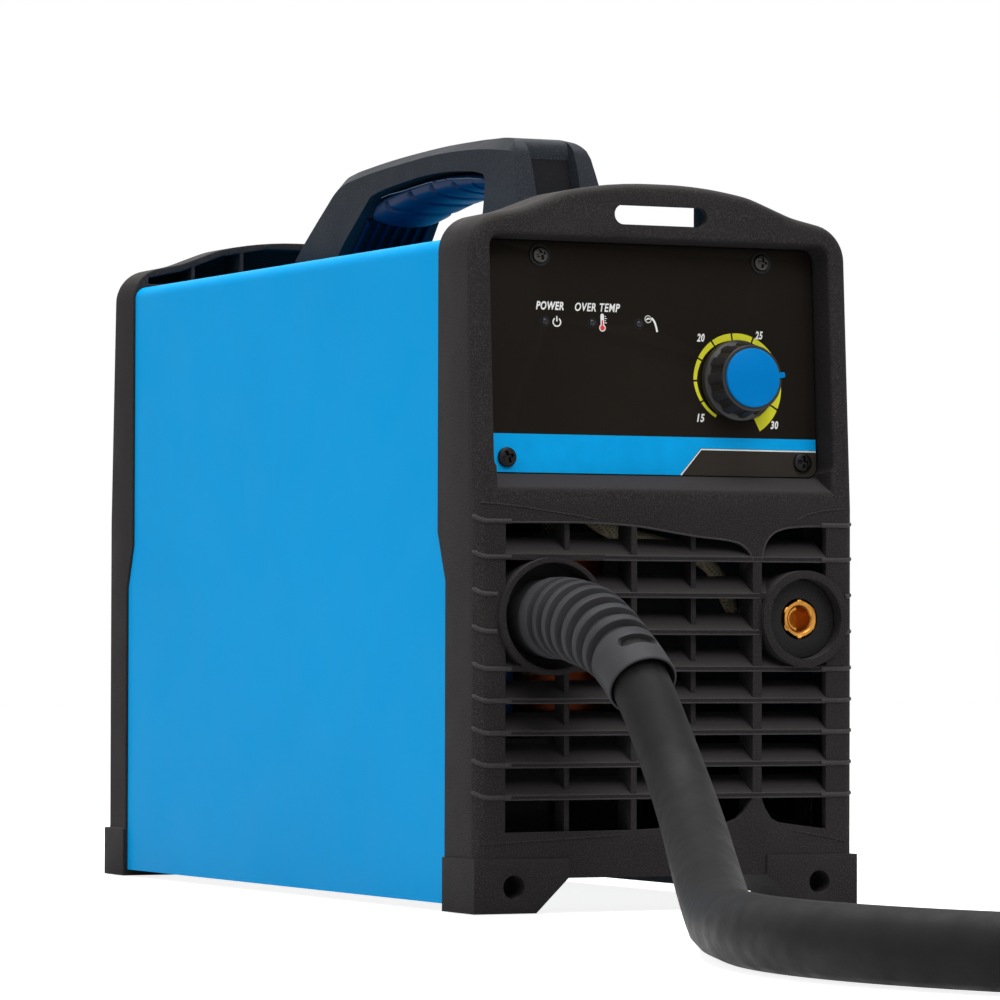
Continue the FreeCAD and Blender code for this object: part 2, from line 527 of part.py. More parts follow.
def make_base_pan():
    """A shallow channel between the cover's sides, with a tongue that lies on each bezel's floor."""
    half = "cover_half - cover_sheet - slide_gap"
    front, rear = "front_reach_low + fit_gap", "unit_depth - rear_reach_low - fit_gap"
    flange = f"{PAN_BOTTOM} + pan_flange"
    outline = [(f"-({half})", PAN_BOTTOM), (half, PAN_BOTTOM), (half, flange),
               (f"{half} - pan_sheet", flange),
               (f"{half} - pan_sheet", PAN_TOP), (f"pan_sheet - ({half})",
                                                  PAN_TOP), (f"pan_sheet - ({half})", flange),
               (f"-({half})", flange)]
    body = pad(new_body("base_pan"), "xz", [outline], front, f"{rear} - ({front})")
    tongue_front = "bezel_wall + fit_gap"
    tongue_rear = "unit_depth - rear_wall - rear_sheet - fit_gap"
    pad(body, "xy", [rect("-tongue_half", tongue_front, "tongue_half", tongue_rear)], PAN_BOTTOM,
        "pan_sheet")
    keep("base_pan", body)


def up(words):
    return f"cover_top + {words}"


OPENING_EDGE = [("leg_inner", "cover_top"), ("under_rear", up("under_rear_up")),
                ("under_middle", up("under_up")),
                ("under_front", up("under_front_up")), ("post_inner", "cover_top")]


def make_handle():
    """The moulded handle with a channel up its front post, its soft grip and its four screws."""
    side = [("handle_front", "cover_top"), ("brow", up("brow_up")), ("shoulder", up("shoulder_up")),
            ("crown_front", up("crown_front_up")), ("crown_middle", up("crown_up")),
            ("crown_rear", up("crown_rear_up")), ("tail", up("tail_up")),
            ("handle_rear", "cover_top"), *OPENING_EDGE]
    across = mirrored([("ridge_half", up("crown_up + 1")), ("handle_half_top", up("edge_up")),
                       ("handle_half", up("waist_up")), ("handle_half", "cover_top")])
    profile = pad(new_body("handle_profile"), "yz", [side], "-handle_half", "2 * handle_half")
    taper = pad(new_body("handle_taper"), "xz", [across], "handle_front - 1",
                "handle_rear - handle_front + 2")
    shell = doc.addObject("Part::MultiCommon", "handle_solid")
    shell.Shapes = [profile, taper]
    ahead = "handle_front - channel_depth"
    groove = [(ahead, "cover_top - 1"), ("handle_front + channel_depth", "cover_top - 1"),
              ("brow + channel_depth", up("brow_up")), ("brow + 2 * channel_depth", up("crown_up + 1")),
              (ahead, up("crown_up + 1"))]
    channel = pad(new_body("handle_channel"), "yz", [groove], "-channel_half", "2 * channel_half")
    bolts = [(f"{i}_{j}", f"{side_x} * bolt_half", y) for i, side_x in enumerate((1, -1))
             for j, y in enumerate(("bolt_front", "bolt_rear"))]
    holes = [cylinder(f"bolt_hole_{name}", (x, y, "cover_top - 1"), "bolt_radius + slide_gap", "bolt_length")
             for name, x, y in bolts]
    keep("handle_shell", cut("handle_shell", shell, channel, *holes))
    leg_foot, under_rear, under_middle, under_front, _ = OPENING_EDGE
    bulge = [("grip_front", f"{between('grip_front', under_front, under_middle)} - fit_gap"),
             ("under_middle", up("under_up - fit_gap")), ("under_rear", up("under_rear_up - fit_gap")),
             ("grip_rear", f"{between('grip_rear', under_rear, leg_foot)} - fit_gap"),
             ("grip_curl", up("grip_curl_up")), ("grip_low", up("grip_low_up")),
             ("grip_flat", up("grip_flat_up")), ("grip_front", up("grip_front_up"))]
    grip = pad(new_body("handle_grip"), "yz", [bulge], "-grip_half", "2 * grip_half")
    keep("handle_grip", grip)
    screws = []
    for name, x, y in bolts:
        start = (x, y, "cover_top - cover_sheet - bolt_head")
        head = cylinder(f"bolt_head_{name}", start, "bolt_head_radius", "bolt_head")
        shank = cylinder(f"bolt_shank_{name}", start, "bolt_radius", "bolt_length")
        screws.append(fuse(f"handle_screw_{name}", head, shank))
    keep("handle_screws", group("handle_screws", *screws))


LAMPS = ("power_lamp", "over_temp_lamp", "pilot_lamp")
POT_BACK = "plate_sheet + pot_depth"


def make_panel():
    """The recessed plate with its screws and lamps, and the board and potentiometer behind it."""
    body = pad(new_body("control_panel"), "xy",
               [rect("-plate_half", "plate_low", "plate_half", "plate_high")],
               "-plate_sheet", "plate_sheet")
    corners = [(f"{side}plate_half", height) for side in ("-", "")
               for height in ("plate_low", "plate_high")]
    round_edges(body, along_axis("z", corners), "plate_radius")
    lamp_spots = [(f"lamp_first + {i} * lamp_pitch", "lamp_up") for i in range(len(LAMPS))]
    screw_spots = {name: [(f"{side}{half}", height) for side in ("-", "")]
                   for name, (half, height) in PANEL_SCREWS.items()}
    holes = [circle(x, v, "lamp_radius") for x, v in lamp_spots]
    holes += [circle(x, v, "screw_shank + slide_gap") for spots in screw_spots.values() for x, v in spots]
    holes.append(circle("knob_x", "knob_up", "bushing_radius + slide_gap"))
    pocket(body, "xy", holes, "-plate_sheet - 1", "plate_sheet + 2")
    keep("control_panel", body, "panel")
    for name, spots in screw_spots.items():
        heads = []
        for i, (x, v) in enumerate(spots):
            screw = pad(new_body(f"{name}_screw_{i}"), "xy", [circle(x, v, "screw_shank")],
                        "-screw_length", "screw_length + 1")
            heads.append(pad(screw, "xy", [circle(x, v, "screw_head_radius")], "0", "screw_head"))
        keep(f"panel_screws_{name}", group(f"panel_screws_{name}", *heads), "panel")
    for label, (x, v) in zip(LAMPS, lamp_spots):
        lamp = pad(new_body(label), "xy", [circle(x, v, "lamp_radius - slide_gap")], f"-({POT_BACK})",
                   f"{POT_BACK} + lamp_proud")
        keep(label, lamp, "panel")
    board = pad(new_body("control_board"), "xy",
                [rect("-control_half_width", "control_low", "control_half_width", "control_high")],
                f"-({POT_BACK} + board_sheet)", "board_sheet")
    keep("control_board", board, "panel")
    pot = pad(new_body("potentiometer"), "xy", [circle("knob_x", "knob_up", "pot_radius")],
              f"-({POT_BACK})", "pot_depth")
    pad(pot, "xy", [circle("knob_x", "knob_up", "bushing_radius")], "-plate_sheet - 1",
        "plate_sheet + 1 + knob_lift / 2")
    pocket(pot, "xy", [circle("knob_x", "knob_up", "shaft_radius + slide_gap")],
           "pot_gap - pot_depth - plate_sheet", "pot_depth + plate_sheet")
    keep("potentiometer", pot, "panel")


def make_knob():
    """The knob turns with its shaft and cap about the panel's normal."""
    at = ("knob_x", "knob_up")
    shaft_end = "pot_gap - pot_depth - plate_sheet + slide_gap"
    shaft = pad(new_body("potentiometer_shaft"), "xy", [circle(*at, "shaft_radius")], shaft_end,
                f"knob_height - 2 - ({shaft_end})")
    keep("potentiometer_shaft", shaft, "panel")
    knob = pad(new_body("current_knob"), "xy", [circle(*at, "knob_skirt_radius")], "knob_lift",
               "knob_skirt")
    pad(knob, "xy", [circle(*at, "knob_radius")], "knob_lift", "knob_height")
    turns = [f"{i} * 360 / flute_count" for i in range(int(num("flute_count")))]
    reach = "(knob_radius + flute_out)"
    flutes = [circle(f"knob_x + {reach} * cos({turn})", f"knob_up + {reach} * sin({turn})", "flute_radius")
              for turn in turns]
    pocket(knob, "xy", flutes, "knob_lift + knob_skirt", "knob_height")
    pocket(knob, "xy", [circle(*at, "shaft_radius + slide_gap")], "0", "knob_height - 2 + slide_gap")
    keep("current_knob", knob, "panel")
    cap = pad(new_body("knob_cap"), "xy", [circle(*at, "cap_radius")], "knob_lift + knob_height",
              "cap_height")
    lean, reach = "pointer_angle", "pointer_reach"
    nub = [(f"knob_x + {r} * cos({lean}) - {w} * pointer_width / 2 * sin({lean})",
            f"knob_up + {r} * sin({lean}) + {w} * pointer_width / 2 * cos({lean})")
           for r, w in (("cap_radius / 2", -1), (reach, -1), (reach, 1), ("cap_radius / 2", 1))]
    pad(cap, "xy", [nub], "knob_lift + knob_height", "cap_height")
    keep("knob_cap", cap, "panel")


def make_work_socket():
    """The insulated socket of the work cable: a disc in the ring, the brass body and its nut."""
    bush = "socket_flats / sqrt(3) + slide_gap"
    disc = pad(new_body("socket_insulator"), "xz", [circle(*SOCKET, "socket_ring_inner - fit_gap")],
               "socket_floor - socket_disc_width", "socket_disc_width")
    pad(disc, "xz", [circle(*SOCKET, "socket_hole - slide_gap")], "socket_floor",
        "socket_back - socket_floor")
    pocket(disc, "xz", [circle(*SOCKET, bush)], "0", "socket_back + 1")
    keep("socket_insulator", disc)
    brass = pad(new_body("work_socket"), "xz", [hexagon(*SOCKET, "socket_flats")], "socket_front",
                "socket_back")
    pad(brass, "xz", [circle(*SOCKET, "socket_flats / 2")], "socket_front", "socket_length")
    pocket(brass, "xz", [circle(*SOCKET, "socket_bore")], "socket_front - 1", "socket_bore_depth + 1")
    keep("work_socket", brass)
    nut = pad(new_body("socket_nut"), "xz", [circle(*SOCKET, "socket_nut_radius")], "socket_back",
              "socket_nut_width")
    pocket(nut, "xz", [circle(*SOCKET, bush)], "socket_back - 1", "socket_nut_width + 2")
    keep("socket_nut", nut)


GLAND_FRONT = "bar_depth"
GLAND_BACK = f"{GLAND_FRONT} + gland_width + gland_nut_width"


def make_torch_gland():
    """The flange and the nut that hold the boot's root behind the collar."""
    bore = circle(*BOOT_ROOT, "boot_root_radius + fit_gap")
    flange = pad(new_body("torch_gland"), "xz", [circle(*BOOT_ROOT, "gland_radius")], GLAND_FRONT,
                 "gland_width")
    pocket(flange, "xz", [bore], f"{GLAND_FRONT} - 1", "gland_width + 2")
    keep("torch_gland", flange)
    nut = pad(new_body("gland_nut"), "xz", [hexagon(*BOOT_ROOT, "gland_nut_flats")],
              f"{GLAND_FRONT} + gland_width",
              "gland_nut_width")
    pocket(nut, "xz", [bore], GLAND_FRONT, "gland_width + gland_nut_width + 1")
    keep("gland_nut", nut)


BOARD_BOTTOM = f"{PAN_TOP} + spacer_height"
BOARD_TOP = f"{BOARD_BOTTOM} + board_sheet"


def make_heat_sink(label, side):
    """A web on the board with upright fins that run along the unit."""
    low = "sink_inner" if side > 0 else "-sink_outer"
    width, length = "(sink_outer - sink_inner)", "sink_rear - sink_front"
    web = box(f"{label}_web", (low, "sink_front", BOARD_TOP), (width, length, "sink_web"))
    fins = [box(f"{label}_fin_{i}",
                (f"{low} + {i} * ({width} - sink_fin) / (sink_fins - 1)", "sink_front", BOARD_TOP),
                ("sink_fin", length, "sink_height")) for i in range(int(num("sink_fins")))]
    keep(label, fuse(label, web, *fins))


def make_transformer():
    """A ferrite frame with its middle leg inside the winding."""
    depth, width = "core_rear - core_front", "2 * core_half"
    frame = box("core_block", ("-core_half", "core_front", BOARD_TOP), (width, depth, "core_height"))
    room = "core_half - 1.5 * core_leg"
    windows = [box(f"core_window_{i}", (x, "core_front - 1", f"{BOARD_TOP} + core_leg / 2"),
                   (room, f"{depth} + 2", "core_height - core_leg"))
               for i, x in enumerate(("core_leg / 2", f"-core_leg / 2 - ({room})"))]
    keep("transformer_core", cut("transformer_core", frame, *windows))
    outer = "core_leg / 2 + (core_half - 1.5 * core_leg) - coil_gap"
    low = f"{BOARD_TOP} + core_leg / 2 + coil_gap"
    tall = "core_height - core_leg - 2 * coil_gap"
    winding = box("coil_block", (f"-({outer})", "core_front - coil_wall", low),
                  (f"2 * ({outer})", f"{depth} + 2 * coil_wall", tall))
    hole = box("coil_hole", ("-core_leg / 2 - coil_gap", "core_front - coil_gap", f"{low} - 1"),
               ("core_leg + 2 * coil_gap", f"{depth} + 2 * coil_gap", f"{tall} + 2"))
    keep("transformer_coil", cut("transformer_coil", winding, hole))


def make_inductor():
    """A tall bobbin near the front, whose copper shows through the grille."""
    at = ("inductor_x", "inductor_y")
    foot = box("bobbin_foot", ("inductor_x - bobbin_base / 2", "inductor_y - bobbin_base / 2", BOARD_TOP),
               ("bobbin_base", "bobbin_base", "bobbin_base"))
    start = f"{BOARD_TOP} + bobbin_base"
    core = cylinder("bobbin_core", (*at, start), "bobbin_radius", "winding_length + 2 * flange_width")
    rims = [cylinder(f"bobbin_rim_{i}", (*at, f"{start} + {i} * (winding_length + flange_width)"),
                     "bobbin_flange", "flange_width") for i in range(2)]
    keep("inductor_bobbin", fuse("inductor_bobbin", foot, core, *rims))
    keep("inductor_winding",
         tube("inductor_winding", (*at, f"{start} + flange_width + fit_gap / 2"), "winding_radius",
                                  "bobbin_radius + fit_gap", "winding_length - fit_gap"))


def make_boards():
    width, depth = "2 * main_half", "main_rear - main_front"
    keep("main_board",
         box("main_board", ("-main_half", "main_front", BOARD_BOTTOM), (width, depth, "board_sheet")))
    spacers = [cylinder(f"spacer_{i}_{j}", (x, y, PAN_TOP), "spacer_radius", "spacer_height")
               for i, x in enumerate(("spacer_inset - main_half", "main_half - spacer_inset"))
               for j, y in enumerate(("main_front + spacer_inset", "main_rear - spacer_inset"))]
    keep("board_spacers", group("board_spacers", *spacers))
    for i in range(int(num("capacitor_count"))):
        at = (f"({i} - (capacitor_count - 1) / 2) * capacitor_pitch", "capacitor_y", BOARD_TOP)
        keep(f"capacitor_{i + 1}",
             cylinder(f"capacitor_{i + 1}", at, "capacitor_radius", "capacitor_height"))
    make_heat_sink("heat_sink_left", -1)
    make_heat_sink("heat_sink_right", 1)
    make_transformer()
    make_inductor()


PLATE_BACK = "rear_wall + rear_sheet"


def make_rear_panel():
    """The sheet behind the rear bezel's opening, with its fittings. Depth counts from the rear face."""
    half = "unit_width / 2 - bezel_wall - fit_gap"
    body = pad(new_body("rear_panel"), "xz",
               [rect(f"-({half})", f"{PAN_BOTTOM} + fit_gap", half, "shelf_bottom - fit_gap")],
               "rear_wall", "rear_sheet")
    cutout = switch_rect("fit_gap")
    holes = [circle("0", "fan_up", "fan_bore"), cutout,
             circle("mains_x", "rear_row_up", "mains_radius - 2 + slide_gap"),
             circle("inlet_x", "rear_row_up", "inlet_radius + slide_gap")]
    pocket(body, "xz", holes, "rear_wall - 1", "rear_sheet + 2")
    keep("rear_panel", body, "rear")
    rings = [ring(f"guard_ring_{i}", ("0", "rear_wall - guard_wire - slide_gap", "fan_up"),
                  f"guard_ring - {i} * guard_pitch",
                  "guard_wire", "y") for i in range(int(num("guard_rings")))]
    reach, spoke_y = "(guard_ring + guard_wire)", "rear_wall - 2.5 * guard_wire"
    spokes = [cylinder("guard_spoke_x", (f"-{reach}", spoke_y, "fan_up"), "guard_wire", f"2 * {reach}",
                       "x"),
              cylinder("guard_spoke_z", ("0", spoke_y, f"fan_up - {reach}"), "guard_wire", f"2 * {reach}")]
    keep("fan_guard", fuse("fan_guard", *rings, *spokes), "rear")
    at = ("mains_x", "rear_row_up")
    gland = pad(new_body("mains_gland"), "xz", [hexagon(*at, "2 * mains_radius")],
                "rear_wall - mains_out / 2", "mains_out / 2")
    pad(gland, "xz", [circle(*at, "mains_radius - 1")], "rear_wall - mains_out", "mains_out")
    pad(gland, "xz", [circle(*at, "mains_radius - 2")], "rear_wall", "mains_in")
    pad(gland, "xz", [hexagon(*at, "2 * mains_radius")], PLATE_BACK, "mains_out / 2")
    pocket(gland, "xz", [circle(*at, "mains_bore")], "rear_wall - mains_out - 1",
           "mains_out + mains_in + 2")
    keep("mains_gland", gland, "rear")
    at = ("inlet_x", "rear_row_up")
    inlet = pad(new_body("air_inlet"), "xz", [hexagon(*at, "1.5 * inlet_collar")],
                "rear_wall - inlet_collar", "inlet_collar")
    pad(inlet, "xz", [circle(*at, "inlet_radius")], "rear_wall - inlet_out",
        f"inlet_out + rear_sheet + regulator_gap")
    pocket(inlet, "xz", [circle(*at, "inlet_bore")], "rear_wall - inlet_out - 1", "inlet_out")
    keep("air_inlet", inlet, "rear")
    regulator = pad(new_body("air_regulator"), "xz", [circle(*at, "regulator_radius")],
                    f"{PLATE_BACK} + regulator_gap", "regulator_length")
    keep("air_regulator", regulator, "rear")


def switch_rect(gap):
    half_x = f"(rocker_wide / 2 + switch_frame / 2 + {gap})"
    half_z = f"(rocker_tall / 2 + rocker_room + switch_frame / 2 + {gap})"
    return rect(f"switch_x - {half_x}", f"rear_row_up - {half_z}", f"switch_x + {half_x}",
                f"rear_row_up + {half_z}")


def make_switch():
    """A rocker switch: a frame clipped in the rear panel and a rocker on pins across it."""
    housing = pad(new_body("power_switch_housing"), "xz", [switch_rect("switch_frame / 2")],
                  "rear_wall - switch_lip", "switch_lip")
    pad(housing, "xz", [switch_rect("0")], "rear_wall - switch_lip", "switch_lip + switch_depth")
    room = rect("switch_x - rocker_wide / 2 - fit_gap", "rear_row_up - rocker_tall / 2 - rocker_room",
                "switch_x + rocker_wide / 2 + fit_gap", "rear_row_up + rocker_tall / 2 + rocker_room")
    pocket(housing, "xz", [room], "rear_wall - switch_lip - 1", "switch_depth")
    pins = [circle("rocker_deep", "rear_row_up", "rocker_pin + slide_gap")]
    pocket(housing, "yz", pins, "switch_x - rocker_wide / 2 - rocker_pin_reach",
           "rocker_wide + 2 * rocker_pin_reach")
    keep("power_switch_housing", housing, "rear")
    corners = [("-rocker_end", "-rocker_tall / 2"), ("-rocker_dip", "0"),
               ("-rocker_end", "rocker_tall / 2"),
               ("rocker_back", "rocker_back_half"), ("rocker_back", "-rocker_back_half")]

    def tilted(point):
        y, z = point
        return (f"rocker_deep + ({y}) * cos(rocker_tilt) - ({z}) * sin(rocker_tilt)",
                f"rear_row_up + ({y}) * sin(rocker_tilt) + ({z}) * cos(rocker_tilt)")
    rocker = pad(new_body("power_rocker"), "yz", [[tilted(p) for p in corners]],
                 "switch_x - rocker_wide / 2", "rocker_wide")
    pin_reach = "rocker_wide / 2 + rocker_pin_reach - fit_gap"
    pad(rocker, "yz", [circle("rocker_deep", "rear_row_up", "rocker_pin")], f"switch_x - ({pin_reach})",
        f"2 * ({pin_reach})")
    keep("power_rocker", rocker, "rear")


def make_fan():
    """An axial fan on the rear panel: a square frame with a motor boss, and a bladed rotor."""
    half = "fan_side / 2"
    frame = pad(new_body("fan_frame"), "xz",
                [rect(f"-{half}", f"fan_up - {half}", half, f"fan_up + {half}")], PLATE_BACK, "fan_depth")
    pocket(frame, "xz", [circle("0", "fan_up", "fan_bore")], f"{PLATE_BACK} - 1", "fan_depth + 2")
    boss = f"{PLATE_BACK} + fan_depth - fan_motor"
    reach = "(fan_bore + 1)"
    upright = rect("-strut_half", f"fan_up - {reach}", "strut_half", f"fan_up + {reach}")
    level = rect(f"-{reach}", "fan_up - strut_half", reach, "fan_up + strut_half")
    pad(frame, "xz", [upright], boss, "fan_motor")
    pad(frame, "xz", [level], boss, "fan_motor")
    pad(frame, "xz", [circle("0", "fan_up", "fan_hub")], boss, "fan_motor")
    pocket(frame, "xz", [circle("0", "fan_up", "shaft_radius + slide_gap")], f"{boss} - 1", "fan_motor + 2")
    keep("fan_frame", frame, "rear")
    start = f"{PLATE_BACK} + 3"
    hub = cylinder("rotor_hub", ("0", start, "fan_up"), "fan_hub", f"{boss} - fit_gap - ({start})", "y")
    shaft = cylinder("rotor_shaft", ("0", start, "fan_up"), "shaft_radius",
                     f"{boss} + fan_motor - 1 - ({start})", "y")
    blades = []
    for i in range(int(num("blade_count"))):
        blade = doc.addObject("Part::Box", f"blade_{i}")
        turn = Rotation(Vector(0, 1, 0),
                        360 * i / num("blade_count")).multiply(Rotation(Vector(0, 0, 1), num("blade_turn")))
        corner = turn.multVec(Vector(-num("blade_width") / 2, -num("blade_depth") / 2, 0))
        blade.Placement = Placement(corner, turn)
        bind(blade, {"Length": "blade_width", "Width": "blade_depth", "Height": "blade_tip"})
        place(blade, (corner.x, f"{corner.y} + {start} + blade_depth / 2", f"{corner.z} + fan_up"))
        blades.append(blade)
    keep("fan_rotor", fuse("fan_rotor", hub, shaft, *blades), "rear")


def make_valve():
    side = "valve_side"
    valve = box("solenoid_valve", (f"valve_x - {side} / 2", f"valve_y - {side} / 2", PAN_TOP),
                (side, side, "valve_height"))
    keep("solenoid_valve", valve)


def vector(*words):
    return Vector(*(num(w) for w in words))


def unit(v):
    return v * (1 / v.Length)


def rounded_path(name, points):
    """Straight runs joined by tangent arcs, each as large as its two runs allow."""
    edges, radii, here = [], [], points[0]
    for before, corner, after in zip(points, points[1:], points[2:]):
        first, second = corner - before, after - corner
        half_turn = first.getAngle(second) / 2
        trim = 0.45 * min(first.Length, second.Length)
        radius = trim / math.tan(half_turn)
        start, end = corner - unit(first) * trim, corner + unit(second) * trim
        inward = unit(unit(second) - unit(first))
        middle = corner + inward * (radius / math.cos(half_turn) - radius)
        edges += [Part.LineSegment(here, start), Part.Arc(start, middle, end)]
        radii.append(round(radius, 1))
        here = end
    edges.append(Part.LineSegment(here, points[-1]))
    print(name, "bend radii", radii)
    return edges


def tube_along(name, edges, radius):
    """A solid round tube on tangent lines and arcs, with its volume compared to section times length."""
    wire = Part.Wire([edge.toShape() for edge in edges])
    first = wire.OrderedEdges[0]
    start, direction = first.valueAt(first.FirstParameter), first.tangentAt(first.FirstParameter)
    section = Part.Wire(Part.Circle(start, direction, radius).toShape())
    solid = wire.makePipeShell([section], True, False)
    ratio = solid.Volume / (math.pi * radius ** 2 * wire.Length)
    print(name, "length", round(wire.Length, 1), "volume ratio", round(ratio, 5))
    if abs(ratio - 1) > 0.01:
        raise ValueError(f"{name} has the wrong volume")
    return solid


def feature(label, shape):
    obj = doc.addObject("Part::Feature", label)
    obj.Shape = shape
    keep(label, obj)


# The free stretch of the torch lead between its straight ends, chosen by hand.
LEAD_POINTS = [(-57, -131, 36), (-73, -171, 22), (-97, -226, 11.6), (-125, -283, 11.6), (-143, -340, 11.6),
               (-142, -400, 11.6), (-123.4, -457.1, 11.6), (-95, -500, 11.6)]
# The last stretch, from the top of the coil to the torch, also between its straight ends.
TAIL_POINTS = [(66, -281.5, 38), (33, -289.5, 43.5), (3, -309, 51), (-20, -339, 58.5)]


def boot_point(along):
    """A place on the boot's centre line, and the angle it has turned down by there."""
    straight, radius = num("boot_straight - collar_front"), num("boot_bend_radius")
    turned = max(0.0, along - straight) / radius
    reach = min(along, straight) + radius * math.sin(turned)
    drop = radius * (1 - math.cos(turned))
    return vector("collar_x", f"-collar_front - {reach}", f"boot_height - {drop}"), turned


def boot_length():
    return num("boot_straight - collar_front") + num("boot_bend_radius") * math.radians(num("boot_bend"))


def boot_circle(along, radius):
    centre, turned = boot_point(along)
    shape = Part.Wire(Part.makeCircle(radius))
    shape.Placement = Placement(centre, Rotation(Vector(1, 0, 0), 90 + math.degrees(turned)))
    return shape


def make_strain_relief():
    """The ribbed boot: a smooth root through the collar, ribs that shrink along the bend, a smooth end."""
    total, ribs = boot_length(), int(num("boot_ribs"))
    first, last = num("boot_root - collar_front"), total - num("boot_collar")
    pitch = (last - first) / ribs
    root = -num(f"collar_front + {GLAND_BACK}")
    rings = [boot_circle(root, num("boot_root_radius")),
             boot_circle(first - 0.1 * pitch, num("boot_root_radius"))]
    for i in range(ribs):
        crest = num("boot_rib_radius") + (num("boot_last_radius - boot_rib_radius")) * i / (ribs - 1)
        groove = crest - num("boot_groove")
        for share, radius in ((0.05, groove), (0.2, crest), (0.7, crest), (0.85, groove)):
            rings.append(boot_circle(first + (i + share) * pitch, radius))
    rings += [boot_circle(last + 0.1 * pitch, num("boot_end_radius")),
              boot_circle(total, num("boot_end_radius"))]
    feature("strain_relief", Part.makeLoft(rings, True, True))


def biarc(start, start_way, end, end_way):
    """Two tangent arcs between two points with given directions."""
    across, ways = end - start, start_way + end_way
    spread = 2 * (1 - start_way.dot(end_way))
    reach = (-across.dot(ways) + math.sqrt(across.dot(ways) ** 2 + spread * across.dot(across))) / spread
    joint = (start + end + (start_way - end_way) * reach) * 0.5

    def arc(first, way, last):
        chord = last - first
        lean = unit(way + unit(chord))
        return first + lean * (chord.Length / 2 / lean.dot(unit(chord)))
    return [Part.Arc(start, arc(start, start_way, joint), joint),
            Part.Arc(joint, arc(end, end_way * -1, joint), end)]


def coil_stations():
    """Points and directions each quarter turn: inwards on the floor, up a layer, and outwards again."""
    quarters = int(num("coil_quarters"))
    pitch, rise = num("coil_pitch"), num("layer_rise")
    inmost = num("coil_mean_radius") - pitch * quarters / 16
    stations = []
    for i in range(quarters + 1):
        angle = math.radians(num("coil_start") + 90 * i)
        off = i - quarters / 2
        radius = inmost + pitch * abs(off) / 4
        growth = math.copysign(pitch / (2 * math.pi), off) if off else 0.0
        lift, climb = (0.0, 0.0) if off < 0 else (rise, 0.0)
        if off == 0:
            lift, climb = rise / 2, rise / 2
        out = Vector(math.cos(angle), math.sin(angle), 0)
        on = Vector(-math.sin(angle), math.cos(angle), 0)
        centre = vector("coil_x", "coil_y", f"lead_height + {lift}")
        stations.append((centre + out * radius, unit(out * growth + on * radius + Vector(0, 0, climb))))
    return stations


def least_gap(edges, radius):
    """The smallest free space between turns, measured on points along the centre line."""
    points, gap = [], 1000.0
    for edge in edges:
        shape = edge.toShape()
        points += shape.discretize(Number=max(2, int(shape.Length / 4)))
    apart = int(8 * radius / 4)
    for i, point in enumerate(points):
        for other in points[i + apart:]:
            gap = min(gap, point.distanceToPoint(other))
    return gap - 2 * radius


def make_lead():
    """The torch lead in three stretches: from the boot to the coil, the coil, and on to the torch."""
    radius = num("cable_radius")
    stations = coil_stations()
    (first, first_way), (last, last_way) = stations[0], stations[-1]
    coil_in, coil_out = first - first_way * 2 * radius, last + last_way * 2 * radius
    start, turned = boot_point(boot_length())
    boot_way = Vector(0, -math.cos(turned), -math.sin(turned))
    lead = rounded_path("torch_lead", [start, start + boot_way * num("lead_first_run"),
                                       *(Vector(*point) for point in LEAD_POINTS),
                                       coil_in - first_way * num("lead_last_run"), coil_in])
    feature("torch_lead", tube_along("torch_lead", lead, radius))
    turns = [Part.LineSegment(coil_in, first)]
    for (a, way_a), (b, way_b) in zip(stations, stations[1:]):
        turns += biarc(a, way_a, b, way_b)
    turns.append(Part.LineSegment(last, coil_out))
    print("lead_coil least gap", round(least_gap(turns, radius), 2))
    feature("lead_coil", tube_along("lead_coil", turns, radius))
    tail = rounded_path("lead_tail", [coil_out, coil_out + last_way * num("tail_first_run"),
                                      *(Vector(*point) for point in TAIL_POINTS),
                                      vector("torch_x", "torch_start + tail_last_run", "torch_height"),
                                      vector("torch_x", "torch_start", "torch_height")])
    feature("lead_tail", tube_along("lead_tail", tail, radius))


VALVE_TOP = f"{PAN_TOP} + valve_height"
# The free stretches of the inside runs between their ends, chosen by hand.
AIR_HOSE_POINTS = [("-inlet_x", "240", "rear_row_up"), ("16", "160", "rear_row_up - 8"),
                   ("-28", "104", "rear_row_up - 26"), ("valve_x", "86", "rear_row_up - 62")]
SOCKET_LEAD_POINTS = [("socket_x", "54", "socket_height"), ("52", "64", "129"), ("32", "64", "136"),
                      ("8", "66", "140"), ("inductor_x", "80", "154")]
POWER_LEAD_POINTS = [("-50", "96", "104"), ("-46", "126", "98")]


